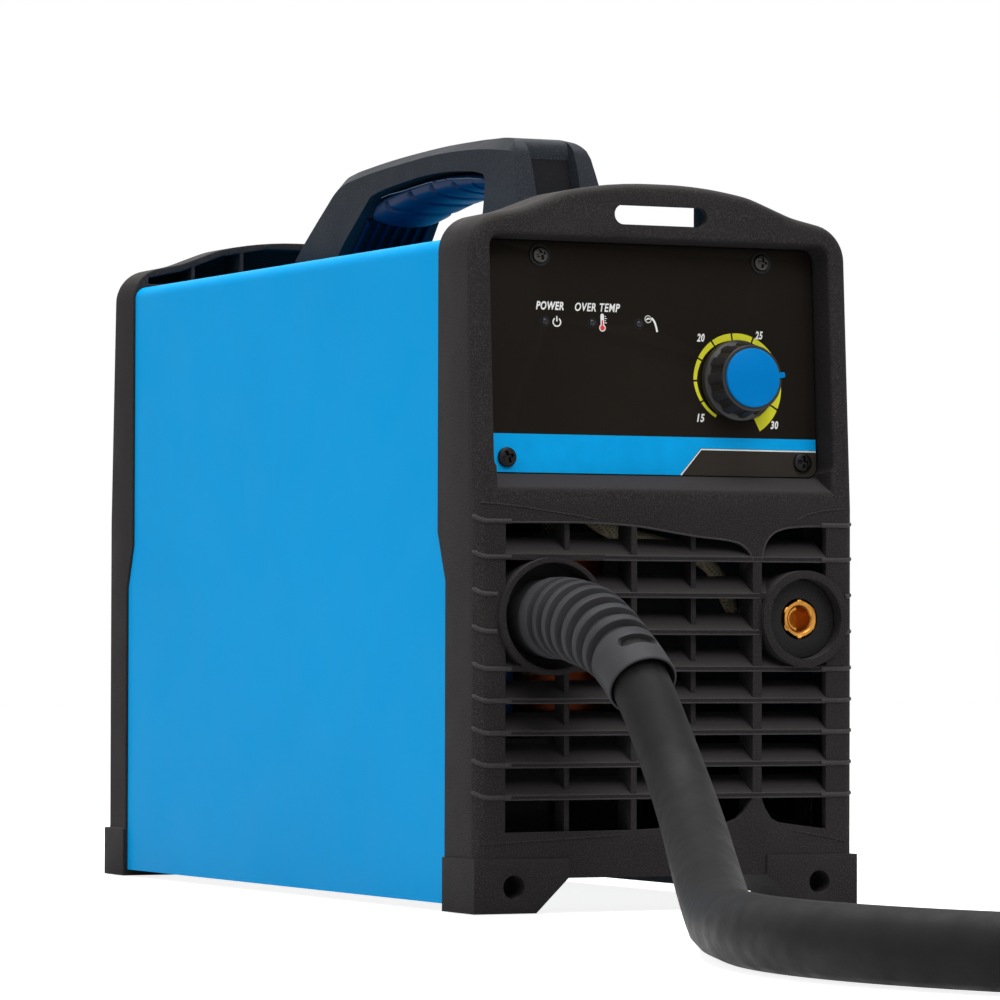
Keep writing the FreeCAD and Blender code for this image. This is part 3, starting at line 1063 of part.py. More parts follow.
def make_leads_inside():
    """The air hoses and the two sleeved leads, each held at both ends."""
    port = f"{PAN_TOP} + valve_port_up"
    valve_hose = [("valve_x", "valve_y", VALVE_TOP), ("valve_x", "valve_y", "boot_height - valve_hose_turn"),
                  ("valve_x", "valve_y - valve_hose_corner", "boot_height"),
                  ("valve_x", GLAND_BACK, "boot_height")]
    regulator_front = f"unit_depth - ({PLATE_BACK} + regulator_gap + regulator_length)"
    air_hose = [("-inlet_x", regulator_front, "rear_row_up"), *AIR_HOSE_POINTS,
                ("valve_x", "88", f"{port} + 30"), ("valve_x", "86", port),
                ("valve_x", "valve_y + valve_side / 2", port)]
    bobbin_top = f"{BOARD_TOP} + bobbin_base + winding_length + 2 * flange_width"
    socket_lead = [("socket_x", "socket_front + socket_length", "socket_height"), *SOCKET_LEAD_POINTS,
                   ("inductor_x", "inductor_y", f"{bobbin_top} + 15"),
                   ("inductor_x", "inductor_y", bobbin_top)]
    lead_x = "collar_x - power_lead_aside"
    power_lead = [(lead_x, GLAND_BACK, "boot_height"), (lead_x, "58", "boot_height"), *POWER_LEAD_POINTS,
                  ("-46", "126", f"{BOARD_TOP} + sink_height")]
    runs = {"valve_hose": (valve_hose, "hose_radius"), "air_hose": (air_hose, "hose_radius"),
            "socket_lead": (socket_lead, "lead_radius"), "torch_power_lead": (power_lead, "lead_radius")}
    for label, (points, radius) in runs.items():
        edges = rounded_path(label, [vector(*p) for p in points])
        feature(label, tube_along(label, edges, num(radius)))


TORCH_FRONT = "torch_boot_length + torch_length"
PIVOT = ("-trigger_in - 2 * trigger_pin_radius", "torch_boot_length + trigger_front - pivot_back")


def make_torch():
    """The hand torch on its side: Y runs forward from the cable, the head and trigger point to -X."""
    flare = cone("boot_flare", ("0", "0", "0"), "boot_root_radius", "torch_boot_radius",
                 "torch_boot_length - boot_lip", "y")
    lip_start = ("0", "torch_boot_length - boot_lip", "0")
    lip = cylinder("boot_lip", lip_start, "torch_boot_radius", "boot_lip", "y")
    keep("torch_boot", fuse("torch_boot", flare, lip), "torch")
    width = "torch_half_width"
    third, slim, waist = "torch_boot_length + torch_length / 3", "torch_slim", "torch_slim / 4"
    outline = [(f"{width} - {slim}", "torch_boot_length"), (f"{width} - {waist}", third),
               (f"{width} - {waist}", f"{TORCH_FRONT} - torch_front_run"),
               (f"{width} - {slim}", TORCH_FRONT), (f"{slim} - {width}", TORCH_FRONT),
               (f"-{width} - torch_brow", f"{TORCH_FRONT} - torch_brow_back"),
               (f"-{width}", f"{TORCH_FRONT} - 2 * torch_front_run"), (f"{waist} - {width}", third),
               (f"{slim} - {width}", "torch_boot_length")]
    back, front = "torch_boot_length + trigger_back", "torch_boot_length + trigger_front"
    room = rect("-trigger_out - trigger_room", f"{back} - slot_back", "trigger_room - trigger_in",
                f"{front} + slot_front")
    for label, side, start in (("torch_handle_upper", 1, "0"), ("torch_handle_lower", -1, "-torch_half")):
        half = pad(new_body(label), "xy", [outline], start, "torch_half")
        outer = num("torch_half") * side

        def on_rim(edge):
            return abs(edge.BoundBox.ZMin - outer) < 0.01 and abs(edge.BoundBox.ZMax - outer) < 0.01
        round_edges(half, on_rim, "torch_rim")
        pocket(half, "xy", [room], "0" if side > 0 else "-trigger_room", "trigger_room")
        pin_start = "0" if side > 0 else "-trigger_room - pin_seat"
        pocket(half, "xy", [circle(*PIVOT, "trigger_pin_radius + slide_gap")], pin_start,
               "trigger_room + pin_seat")
        keep(label, half, "torch")
    lever = [("-trigger_in", back), ("trigger_heel - trigger_out", back),
             ("-trigger_out", f"{back} + trigger_heel_run"),
             ("trigger_hook - trigger_out", f"{front} - trigger_hook_run"),
             ("-trigger_in - trigger_toe", front), ("-trigger_in", front)]
    trigger = pad(new_body("torch_trigger"), "xy", [lever], "-trigger_half", "2 * trigger_half")
    pocket(trigger, "xy", [circle(*PIVOT, "trigger_pin_radius + slide_gap")], "-trigger_half - 1",
           "2 * trigger_half + 2")
    keep("torch_trigger", trigger, "torch")
    pin = pad(new_body("trigger_pin"), "xy", [circle(*PIVOT, "trigger_pin_radius")],
              "-trigger_room - pin_grip", "2 * (trigger_room + pin_grip)")
    keep("trigger_pin", pin, "torch")
    axis = f"{TORCH_FRONT} + head_gap"
    root = cylinder("head_root", ("0", TORCH_FRONT, "0"), "head_radius", "head_gap", "y")
    knee = place(bind(doc.addObject("Part::Sphere", "head_knee"), {"Radius": "head_radius"}),
                 ("0", axis, "0"))
    neck = cylinder("head_neck", ("-neck_length", axis, "0"), "neck_radius", "neck_length", "x")
    keep("torch_head", fuse("torch_head", root, knee, neck), "torch")
    half_cup = "cup_length / 2"
    body = cylinder("cup_body", (f"-neck_length - {half_cup}", axis, "0"), "cup_radius", half_cup, "x")
    nose = cone("cup_nose", ("-neck_length - cup_length", axis, "0"), "cup_nose_radius", "cup_radius",
                half_cup, "x")
    bore = cylinder("cup_hole", ("-neck_length - cup_length - 1", axis, "0"), "cup_bore", "cup_length + 2",
                    "x")
    keep("shield_cup", cut("shield_cup", fuse("cup_outer", body, nose), bore), "torch")
    tip = cylinder("tip_body", ("-neck_length - tip_length", axis, "0"), "tip_radius", "tip_length", "x")
    nozzle = cone("tip_nozzle", ("-neck_length - tip_length - tip_nozzle", axis, "0"), "tip_radius / 2",
                  "tip_radius", "tip_nozzle", "x")
    keep("cutting_tip", fuse("cutting_tip", tip, nozzle), "torch")


make_front_bezel()
make_rear_bezel()
make_cover()
make_base_pan()
make_handle()
make_panel()
make_knob()
make_work_socket()
make_torch_gland()
make_boards()
make_rear_panel()
make_switch()
make_fan()
make_valve()
make_strain_relief()
make_lead()
make_leads_inside()
make_torch()
doc.recompute()

for obj in doc.Objects:
    if {"Invalid", "Error"} & set(obj.State):
        raise ValueError(f"{obj.Label} did not recompute: {obj.State}")
os.makedirs("parts", exist_ok=True)
for part in subparts:
    if part.Shape.isNull() or not part.Shape.isValid() or not part.Shape.Solids:
        raise ValueError(f"{part.Label} has no valid shape")
    part.Shape.exportStep(f"parts/{part.Label}.step")
print(len(subparts), "sub-parts written")
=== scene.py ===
from math import copysign, cos, exp, pi, radians, sin, sqrt

import bmesh
import bpy
from mathutils import Matrix, Vector
from mathutils.bvhtree import BVHTree


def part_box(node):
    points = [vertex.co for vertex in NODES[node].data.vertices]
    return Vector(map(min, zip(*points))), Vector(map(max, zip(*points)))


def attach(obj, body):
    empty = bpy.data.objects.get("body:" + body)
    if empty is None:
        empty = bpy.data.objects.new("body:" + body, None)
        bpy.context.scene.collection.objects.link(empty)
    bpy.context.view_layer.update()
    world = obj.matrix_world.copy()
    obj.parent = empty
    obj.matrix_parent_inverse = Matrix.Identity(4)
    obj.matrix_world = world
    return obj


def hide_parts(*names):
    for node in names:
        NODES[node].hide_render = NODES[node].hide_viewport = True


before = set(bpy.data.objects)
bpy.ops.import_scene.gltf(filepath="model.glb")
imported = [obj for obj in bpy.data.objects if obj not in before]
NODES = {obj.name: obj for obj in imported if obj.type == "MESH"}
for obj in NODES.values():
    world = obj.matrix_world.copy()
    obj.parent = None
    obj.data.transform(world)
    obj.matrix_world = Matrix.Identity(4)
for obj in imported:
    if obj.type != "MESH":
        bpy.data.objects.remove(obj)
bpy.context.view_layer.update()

# Sizes are in millimetres in the unit's own frame: y = 0 is the lower front plane, +Y runs to the rear.
MM = 0.001
RING_PROUD = 3
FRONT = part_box("front_bezel")[0].y / MM + RING_PROUD
LEAN = radians(3.3)
LEAN_START = 149
RECESS_DEPTH = 12
PANEL_Y = RECESS_DEPTH * cos(LEAN)
PANEL_Z = LEAN_START - RECESS_DEPTH * sin(LEAN)
# Points nearer than this, in metres, are one. Faces under this angle to each other are one.
SAME_POINT, SAME_NODE_POINT = 0.000002, 0.00001
SAME_FACE = radians(0.5)


def at(x, y, z):
    """A point of the unit's frame, in the scene's metres."""
    return Vector((x, y + FRONT, z)) * MM


def frame_at(origin, turn):
    return Matrix.Translation(origin) @ turn.to_4x4() @ Matrix.Scale(MM, 4)


UNIT = frame_at(at(0, 0, 0), Matrix.Identity(3))
PANEL = frame_at(at(0, PANEL_Y, PANEL_Z), Matrix.Rotation(pi / 2 - LEAN, 3, "X"))
FACING = UNIT @ Matrix.Rotation(pi / 2, 4, "X")


def clamp(value):
    return max(0, min(1, value))


def around(steps):
    """Even turns round a circle."""
    return [2 * pi * i / steps for i in range(steps)]


def circle(radius, z, steps):
    """Points round a level circle."""
    return [(radius * cos(a), radius * sin(a), z) for a in around(steps)]


# Shapes, built in millimetres in a local frame. FACING has X across, Y up and Z out of the front.


class Shape:
    """Points and faces that become one piece."""

    def __init__(self):
        self.points, self.faces = [], []

    def add(self, points, faces):
        start = len(self.points)
        self.points += [Vector(p) for p in points]
        self.faces += [[start + i for i in face] for face in faces]
        return self

    def prism(self, outline, low, high):
        """An outline in X and Y, from one height to another."""
        count = len(outline)
        sides = [[i, (i + 1) % count, (i + 1) % count + count, i + count] for i in range(count)]
        return self.add([(x, y, z) for z in (low, high) for x, y in outline],
                        [*sides, list(range(count))[::-1], list(range(count, 2 * count))])

    def skin(self, rings):
        """Faces between rings of equal count, with the first and last ring filled."""
        count = len(rings[0])
        last = (len(rings) - 1) * count
        faces = [[start + i, start + (i + 1) % count, start + count + (i + 1) % count, start + count + i]
                 for start in range(0, last, count) for i in range(count)]
        faces += [list(range(count))[::-1], list(range(last, last + count))]
        return self.add([p for one in rings for p in one], faces)

    def lathe(self, profile, centre=(0, 0), steps=64):
        """A closed profile of radius and height, turned about Z through a centre."""
        x, y = centre
        points = [(x + r * cos(a), y + r * sin(a), z) for a in around(steps) for r, z in profile]
        count, faces = len(profile), []
        for i in range(steps):
            here, beside = i * count, (i + 1) % steps * count
            for j in range(count):
                up = (j + 1) % count
                faces.append([here + j, here + up, beside + up, beside + j])
        return self.add(points, faces)

    def turned(self, matrix, start=0):
        """Moves the points from a place in the list on."""
        self.points[start:] = [matrix @ p for p in self.points[start:]]
        return self

    def piece(self, name, place, material, body="unit", round_off=0, smooth=35, segments=2):
        """The finished object, riding on a body."""
        mesh = bpy.data.meshes.new(name)
        mesh.from_pydata([place @ p for p in self.points], [], self.faces)
        mesh.materials.append(material)
        work = bmesh.new()
        work.from_mesh(mesh)
        bmesh.ops.remove_doubles(work, verts=work.verts, dist=SAME_POINT)
        bmesh.ops.recalc_face_normals(work, faces=work.faces)
        work.to_mesh(mesh)
        work.free()
        return placed(name, mesh, body, round_off, smooth, segments)


def added(name, data):
    """A new object in the scene."""
    made = bpy.data.objects.new(name, data)
    bpy.context.scene.collection.objects.link(made)
    return made


def placed(name, mesh, body, round_off=0, smooth=35, segments=2):
    """An object for a mesh, smooth but for its sharp edges, which may be rounded."""
    mesh.shade_smooth()
    piece = added(name, mesh)
    if round_off:
        add_round(piece, round_off, smooth, segments)
    else:
        mesh.set_sharp_from_angle(angle=radians(smooth))
    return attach(piece, body)


def add_round(piece, round_off, angle=32, segments=2):
    bevel = piece.modifiers.new("round", "BEVEL")
    bevel.width = round_off * MM
    bevel.segments = segments
    bevel.limit_method = "ANGLE"
    bevel.angle_limit = radians(angle)
    bevel.use_clamp_overlap = True
    bevel.harden_normals = True


def arc(centre, radius, first, last, steps):
    """Points on an arc, angles in degrees."""
    turns = [radians(first + (last - first) * i / steps) for i in range(steps + 1)]
    return [(centre[0] + radius * cos(a), centre[1] + radius * sin(a)) for a in turns]


def rounded_box(low, high, radius):
    """A rectangle's outline with round corners."""
    xa, ya, xb, yb = low[0] + radius, low[1] + radius, high[0] - radius, high[1] - radius
    corners = (((xb, yb), 0), ((xa, yb), 90), ((xa, ya), 180), ((xb, ya), 270))
    return [point for middle, turn in corners for point in arc(middle, radius, turn, turn + 90, 3)]


def smooth_line(points, between=6):
    """A smooth line through the points, with more between. Its slopes weigh the runs by length."""
    spots = [Vector(p) for p in points]
    runs = [(b - a).length for a, b in zip(spots, spots[1:])]
    ways = [(b - a) / run for a, b, run in zip(spots, spots[1:], runs)]
    middle = [(v * n + w * m) / (n + m) for v, w, m, n in zip(ways, ways[1:], runs, runs[1:])]
    slopes, line = [ways[0], *middle, ways[-1]], []
    for i, run in enumerate(runs):
        for step in range(between):
            t = step / between
            line.append(spots[i] * (2 * t ** 3 - 3 * t * t + 1) + slopes[i] * run * (t ** 3 - 2 * t * t + t)
                        + spots[i + 1] * (3 * t * t - 2 * t ** 3) + slopes[i + 1] * run * (t ** 3 - t * t))
    return [*line, spots[-1]]


def band(points, width):
    """The outline of a line of even width in X and Y."""
    spots = [Vector(p) for p in points]
    left, right = [], []
    for i, spot in enumerate(spots):
        ahead = spots[min(i + 1, len(spots) - 1)] - spots[max(i - 1, 0)]
        aside = Vector((-ahead.y, ahead.x)).normalized() * width / 2
        left.append(tuple(spot + aside))
        right.append(tuple(spot - aside))
    return left + right[::-1]


# Materials


def linear(step):
    """An 8-bit step of a screen's colour, as a linear value."""
    share = step / 255
    return share / 12.92 if share <= 0.04045 else ((share + 0.055) / 1.055) ** 2.4


def add_node(tree, kind, *sources, **values):
    """A shader node. Sources fill its inputs in order, each with a number or another node's socket."""
    made = tree.nodes.new("ShaderNode" + kind)
    for name, value in [*enumerate(sources), *values.items()]:
        if isinstance(value, bpy.types.NodeSocket):
            tree.links.new(value, made.inputs[name])
        elif isinstance(name, int) or name in made.inputs:
            made.inputs[name].default_value = value
        else:
            setattr(made, name, value)
    return made


TURNED_AWAY = -0.2


class Finish:
    """A Principled material whose colour, roughness and relief come from noise in real sizes."""

    def __init__(self, name, colour, roughness, metallic=0, **sockets):
        self.material = bpy.data.materials.new(name)
        self.material.use_nodes = True
        self.tree = self.material.node_tree
        self.bsdf = self.tree.nodes["Principled BSDF"]
        self.colour, self.roughness = (*[linear(step) for step in colour], 1), roughness
        for socket, value in {"Base Color": self.colour, "Roughness": roughness, "Metallic": metallic,
                              **sockets}.items():
            self.bsdf.inputs[socket.replace("_", " ")].default_value = value
        self.place = self.node("TexCoord").outputs["Object"]

    def node(self, kind, *sources, **values):
        return add_node(self.tree, kind, *sources, **values)

    def link(self, source, socket):
        self.tree.links.new(source, self.bsdf.inputs[socket])

    def noise(self, size, detail=2, stretch=(1, 1, 1)):
        """Noise whose features are about size millimetres across."""
        place = self.node("Mapping", self.place, Scale=stretch).outputs[0]
        return self.node("TexNoise", place, Scale=1 / (size * MM), Detail=detail).outputs["Fac"]

    def math(self, operation, *sources):
        return self.node("Math", *sources, operation=operation).outputs[0]

    def split(self, source):
        """The X, Y and Z of a place or a direction."""
        return self.node("SeparateXYZ", source).outputs

    def painted_inside_shade(self):
        """1 on faces that look towards the middle of the housing or down into it, 0 on the outer ones: the
        mask of the painted shade.
        """
        normal = self.split(self.node("NewGeometry").outputs["True Normal"])
        side = self.math("MULTIPLY", self.math("SIGN", self.split(self.place)["X"]), normal["X"])
        inward, down = (self.math("LESS_THAN", way, TURNED_AWAY) for way in (side, normal["Z"]))
        return self.math("MAXIMUM", inward, down)

    def facing_up(self):
        """The height of the surface's direction: 1 on level tops."""
        return self.split(self.node("NewGeometry").outputs["Normal"])["Z"]

    def ranged(self, value, low, high, start=0.3, end=0.7):
        return self.node("MapRange", value, start, end, low, high).outputs["Result"]

    def tone(self, value, share, start=0.35, end=0.65):
        """Makes the colour lighter above a share of 1, darker below, where the value is high."""
        mix = self.node("Mix", self.ranged(value, 0, 1, start, end), data_type="RGBA")
        under, base = mix.inputs[6], self.bsdf.inputs["Base Color"]
        under.default_value = self.colour
        mix.inputs[7].default_value = (*[min(1, part * share) for part in self.colour[:3]], 1)
        if base.links:
            self.tree.links.new(base.links[0].from_socket, under)
        self.link(mix.outputs[2], "Base Color")

    def sheen(self, value, less, more):
        """Makes the roughness range over the value, from less to more."""
        self.link(self.ranged(value, self.roughness - less, self.roughness + more), "Roughness")

    def relief(self, value, depth):
        """Raises the surface by up to depth millimetres where the value is high. Gives the material."""
        bump = self.node("Bump", Strength=1, Distance=depth * MM, Height=value)
        self.link(bump.outputs["Normal"], "Normal")
        return self.material


def moulded(name, colour, roughness, grain=0.5, depth=0.12, speckle=2, shine=0.04, painted_top_light=0):
    """Textured moulded plastic: fine grain, small light specks, slow changes of tone, and level tops
    lightened as painted top light.
    """
    made = Finish(name, colour, roughness, Specular_IOR_Level=shine)
    made.tone(made.noise(35, 3), 1.2)
    made.tone(made.noise(grain, 1), speckle, 0.5, 0.66)
    # Painted light: surfaces that face upwards are made lighter, as if lit from above.
    if painted_top_light:
        made.tone(made.facing_up(), 1 + painted_top_light, 0.45, 0.95)
    made.sheen(made.noise(18, 2), 0.06, 0.06)
    return made.relief(made.noise(grain, 2), depth)


def painted(name, colour, roughness):
    """Powder coat: a slight orange peel and a barely uneven gloss, with painted shade that makes it near
    black inside the housing and on faces turned down.
    """
    made = Finish(name, colour, roughness, Specular_IOR_Level=0.02)
    made.tone(made.noise(140, 2), 1.04)
    # Painted shade: faces turned into the housing or downwards are darkened to near black.
    made.tone(made.painted_inside_shade(), 0.03, 0, 1)
    made.sheen(made.noise(25, 3), 0.04, 0.05)
    return made.relief(made.noise(1.6, 2), 0.012)


def rubber(name, colour, roughness):
    """Matt rubber with faint marks and a dusting of light flecks."""
    made = Finish(name, colour, roughness, Specular_IOR_Level=0.07)
    made.tone(made.noise(22, 4), 1.28)
    made.tone(made.noise(0.9, 2), 1.25, 0.6, 0.8)
    made.sheen(made.noise(9, 3), 0.08, 0.08)
    return made.relief(made.noise(0.8, 2), 0.05)


def metal(name, colour, roughness, stretch=(1, 1, 1), grain=0.6):
    """Metal with fine machining or drawing marks and a little tarnish."""
    made = Finish(name, colour, roughness, 1)
    made.tone(made.noise(6, 4), 0.72)
    made.sheen(made.noise(grain, 3, stretch), 0.07, 0.1)
    return made.relief(made.noise(grain, 3, stretch), 0.01)


def glossy(name, colour, roughness, **sockets):
    """Smooth plastic, film or ink."""
    made = Finish(name, colour, roughness, **sockets)
    made.tone(made.noise(12, 3), 1.12)
    made.sheen(made.noise(5, 2), 0.03, 0.05)
    return made.relief(made.noise(0.9, 2), 0.008)


def woven(name, colour, roughness):
    """A braided sleeve: two crossing rows of strands."""
    made = Finish(name, colour, roughness, Specular_IOR_Level=0.1)
    rows = []
    for turn in (0.7, -0.7):
        place = made.node("Mapping", made.place, Rotation=(turn, turn, 0)).outputs[0]
        rows.append(made.node("TexWave", place, Scale=0.35 / MM, Distortion=0.4).outputs["Fac"])
    strands = made.math("MAXIMUM", *rows)
    made.tone(made.math("SUBTRACT", 1, strands), 0.45, 0.1, 0.6)
    made.sheen(made.noise(5, 2), 0.05, 0.1)
    return made.relief(strands, 0.12)


# The bezel and handle plastics below get level tops lightened as painted top light.
BEZEL = moulded("bezel_plastic", (39, 37, 37), 0.5, shine=0.015, painted_top_light=1.3)
HANDLE = moulded("handle_plastic", (39, 41, 44), 0.48, grain=0.7, speckle=1.6, shine=0.02, painted_top_light=0.7)
COVER = painted("cover_paint", (0, 148, 212), 0.42)
BACK_PAINT = glossy("back_paint", (36, 36, 38), 0.5, Specular_IOR_Level=0.15)
GRIP = moulded("grip_rubber", (2, 32, 63), 0.46, grain=0.9, depth=0.03, speckle=1.1, shine=0.1)
LEG_NAVY = moulded("leg_navy", (4, 28, 54), 0.5, grain=0.9, depth=0.03, speckle=1.1, shine=0.05)
PANEL_FILM = moulded("panel_film", (24, 20, 16), 0.5, grain=0.35, depth=0.02, speckle=1.2)
SEAM = glossy("seam_grey", (104, 116, 128), 0.4)
# A lighter copy of the bezel plastic, for painted highlights along its edges and ribs.
BEZEL_HIGHLIGHT = moulded("bezel_painted_highlight", (56, 54, 54), 0.45, speckle=1.5)
BLACK_STEEL = metal("black_steel", (40, 39, 40), 0.4)
BLUE_INK = glossy("blue_ink", (0, 153, 220), 0.42, Specular_IOR_Level=0.08)
WHITE_INK = glossy("white_ink", (222, 222, 220), 0.45)
YELLOW_INK = glossy("yellow_ink", (206, 204, 48), 0.45, Specular_IOR_Level=0.1)
RED_INK = glossy("red_ink", (205, 40, 36), 0.45)
GREY_INK = glossy("grey_ink", (47, 43, 39), 0.5, Specular_IOR_Level=0.05)
KNOB_BLACK = moulded("knob_black", (34, 32, 32), 0.36, grain=0.3, depth=0.02, speckle=1.3, shine=0.3)
KNOB_BLUE = moulded("knob_blue", (0, 114, 184), 0.4, grain=0.3, depth=0.015, speckle=1.08)
# Near-black plastic for a plate laid in the handle's channel: painted shade in that recess.
CHANNEL_SHADE = moulded("channel_painted_shade", (18, 18, 20), 0.5, grain=0.4, depth=0.02)
BLACK_PLASTIC = moulded("black_plastic", (34, 34, 35), 0.42, grain=0.4, depth=0.02)
LENS = glossy("dark_lens", (16, 18, 26), 0.2, Specular_IOR_Level=0.3)
BRASS = metal("brass", (196, 136, 62), 0.3, (1, 1, 6))
STEEL = metal("steel", (176, 178, 180), 0.34)
DARK_STEEL = metal("dark_steel", (66, 64, 62), 0.36)
ZINC = metal("zinc_sheet", (120, 124, 126), 0.55, (1, 8, 1), 3)
ALUMINIUM = metal("aluminium", (196, 198, 200), 0.36, (1, 12, 1), 1.2)
SINK_BLACK = metal("sink_black", (48, 50, 52), 0.55, (1, 12, 1), 1.2)
COPPER = metal("copper_wire", (120, 58, 34), 0.45)
FERRITE = moulded("ferrite", (60, 58, 56), 0.6, grain=1.2, depth=0.05)
BOARD = glossy("circuit_board", (24, 88, 52), 0.4)
FAN_BLACK = moulded("fan_black", (30, 30, 31), 0.45, grain=0.5)
ROCKER_RED = glossy("rocker_red", (176, 30, 24), 0.3)
HOSE_BLUE = rubber("hose_blue", (9, 36, 70), 0.5)
SLEEVE = woven("sleeve_beige", (206, 196, 168), 0.8)
CABLE = rubber("cable_rubber", (25, 24, 24), 0.55)
BOOT = rubber("boot_rubber", (51, 51, 53), 0.5)
TORCH_PLASTIC = moulded("torch_plastic", (44, 44, 46), 0.42, grain=0.6, depth=0.05)
TRIGGER = moulded("trigger_blue", (0, 118, 186), 0.42, grain=0.4, depth=0.02)
CERAMIC = moulded("shield_ceramic", (92, 62, 50), 0.6, grain=0.8, depth=0.03)
TIP = metal("copper_tip", (202, 122, 78), 0.28)


def dress(node, material, round_off):
    """Gives a carried-over node its material and, where asked, rounded edges."""
    part = NODES[node]
    part.data.materials.clear()
    part.data.materials.append(material)
    part.data.shade_smooth()
    if round_off:
        weld = part.modifiers.new("weld", "WELD")
        weld.merge_threshold = SAME_NODE_POINT
        flat = part.modifiers.new("flat", "DECIMATE")
        flat.decimate_type = "DISSOLVE"
        flat.angle_limit = SAME_FACE
        add_round(part, round_off, segments=3)


# Camera, light and stage


CAMERA = Vector((-895.376, -1754.568, 98.127))
AZIMUTH, PITCH, ROLL = radians(25.2304), radians(1.5346), radians(0.1569)
FOCAL_PIXELS, FRAME_PIXELS, SENSOR = 5344.45, 1000, 36


def make_camera():
    data = bpy.data.cameras.new("camera")
    data.sensor_width = SENSOR
    data.lens = FOCAL_PIXELS / FRAME_PIXELS * SENSOR
    data.clip_start, data.clip_end = 0.05, 50
    camera = added("camera", data)
    turns = ((-AZIMUTH, "Z"), (pi / 2 + PITCH, "X"), (ROLL, "Z"))
    around_up, tilt, roll = (Matrix.Rotation(turn, 4, axis) for turn, axis in turns)
    camera.matrix_world = Matrix.Translation(at(*CAMERA)) @ around_up @ tilt @ roll
    bpy.context.scene.camera = camera


def backdrop_rays(tree):
    """1 for rays that see the backdrop from the camera, in a mirror or through glass."""
    rays = add_node(tree, "LightPath").outputs
    seen = rays["Is Camera Ray"]
    for kind in ("Is Glossy Ray", "Is Transmission Ray"):
        seen = add_node(tree, "Math", seen, rays[kind], operation="MAXIMUM").outputs[0]
    return seen


WORLD_LIGHT, WORLD_SEEN = 0.22, 1
FLOOR_GLOW, FLOOR_COLOUR = 0.84, (0.6, 0.6, 0.6, 1)
FLOOR_HALF, FLOOR_DROP = 6, 0.0005


def make_world():
    world = bpy.data.worlds.new("studio")
    world.use_nodes = True
    tree = world.node_tree
    tree.nodes.clear()
    whites = [add_node(tree, "Background", (1, 1, 1, 1), strength) for strength in (WORLD_LIGHT, WORLD_SEEN)]
    mix = add_node(tree, "MixShader", backdrop_rays(tree), *[white.outputs[0] for white in whites])
    add_node(tree, "OutputWorld", mix.outputs[0])
    bpy.context.scene.world = world


def make_floor():
    """A plain white floor: mostly white to the camera, with the object's soft shadow left in it."""
    mesh = bpy.data.meshes.new("floor")
    corners = ((-1, -1), (1, -1), (1, 1), (-1, 1))
    mesh.from_pydata([(x * FLOOR_HALF, y * FLOOR_HALF, -FLOOR_DROP) for x, y in corners], [], [(0, 1, 2, 3)])
    floor = added("floor", mesh)
    material = bpy.data.materials.new("floor_white")
    material.use_nodes = True
    tree = material.node_tree
    diffuse = tree.nodes["Principled BSDF"]
    diffuse.inputs["Base Color"].default_value = FLOOR_COLOUR
    diffuse.inputs["Roughness"].default_value = 0.9
    diffuse.inputs["Specular IOR Level"].default_value = 0.1
    share = add_node(tree, "Math", backdrop_rays(tree), FLOOR_GLOW, operation="MULTIPLY")
    glow = add_node(tree, "Emission", Strength=share.outputs[0])
    both = add_node(tree, "AddShader", diffuse.outputs[0], glow.outputs[0])
    tree.links.new(both.outputs[0], tree.nodes["Material Output"].inputs["Surface"])
    mesh.materials.append(material)


def make_light(name, place, aim, size, watts):
    data = bpy.data.lights.new(name, "AREA")
    data.shape = "RECTANGLE"
    data.size, data.size_y = size
    data.energy = watts
    lamp = added(name, data)
    lamp.location = at(*place)
    lamp.rotation_mode = "QUATERNION"
    lamp.rotation_quaternion = (at(*aim) - lamp.location).to_track_quat("-Z", "Y")


def make_studio():
    bpy.context.scene.view_settings.view_transform = "Standard"
    make_camera()
    make_world()
    make_floor()
    make_light("top_box", (-100, 250, 1900), (0, 180, 150), (1.8, 1.8), 54)
    make_light("left_box", (-1900, 100, 900), (-78, 180, 130), (1.4, 1.6), 10.8)
    make_light("front_box", (150, -1500, 1650), (0, 0, 150), (1.5, 1.2), 27)


# The torch lead: the same route as the solids, as one smooth curve


LEAD_POINTS = [(-57, -131, 36), (-73, -171, 22), (-97, -226, 11.6), (-125, -283, 11.6), (-143, -340, 11.6),
               (-142, -400, 11.6), (-123.4, -457.1, 11.6), (-95, -500, 11.6)]
TAIL_POINTS = [(66, -281.5, 38), (33, -289.5, 43.5), (3, -309, 51), (-20, -339, 58.5)]
CABLE_RADIUS = 11.5
COLLAR_X = -47.8
BOOT_HEIGHT, BOOT_STRAIGHT, BOOT_BEND_RADIUS, BOOT_BEND = 107.3, 5.65, 110.8, radians(38.3)
LEAD_DIP = radians(50)
LEAD_ROOT, LEAD_FIRST_RUN, COIL_IN_RUNS, COIL_OUT_RUN, TORCH_RUN = 20, 39, (66, 30), 42, 55
COIL_CENTRE, COIL_MEAN, COIL_PITCH = Vector((80, -440)), 126.5, 24.5
COIL_QUARTERS, COIL_START = 14, radians(246)
LEAD_HEIGHT, LAYER_RISE = 11.6, 23.6
TORCH_X, TORCH_START, TORCH_HEIGHT = -36.4, -433, 63
POINTS_EACH_QUARTER = 5


def boot_point(along):
    """A place on the boot's line from the collar's front, and how far it has turned down by there."""
    straight = BOOT_STRAIGHT - RING_PROUD
    turned = max(0, along - straight) / BOOT_BEND_RADIUS
    reach = min(along, straight) + BOOT_BEND_RADIUS * sin(turned)
    drop = BOOT_BEND_RADIUS * (1 - cos(turned))
    return Vector((COLLAR_X, -RING_PROUD - reach, BOOT_HEIGHT - drop)), turned


BOOT_LENGTH = BOOT_STRAIGHT - RING_PROUD + BOOT_BEND_RADIUS * BOOT_BEND


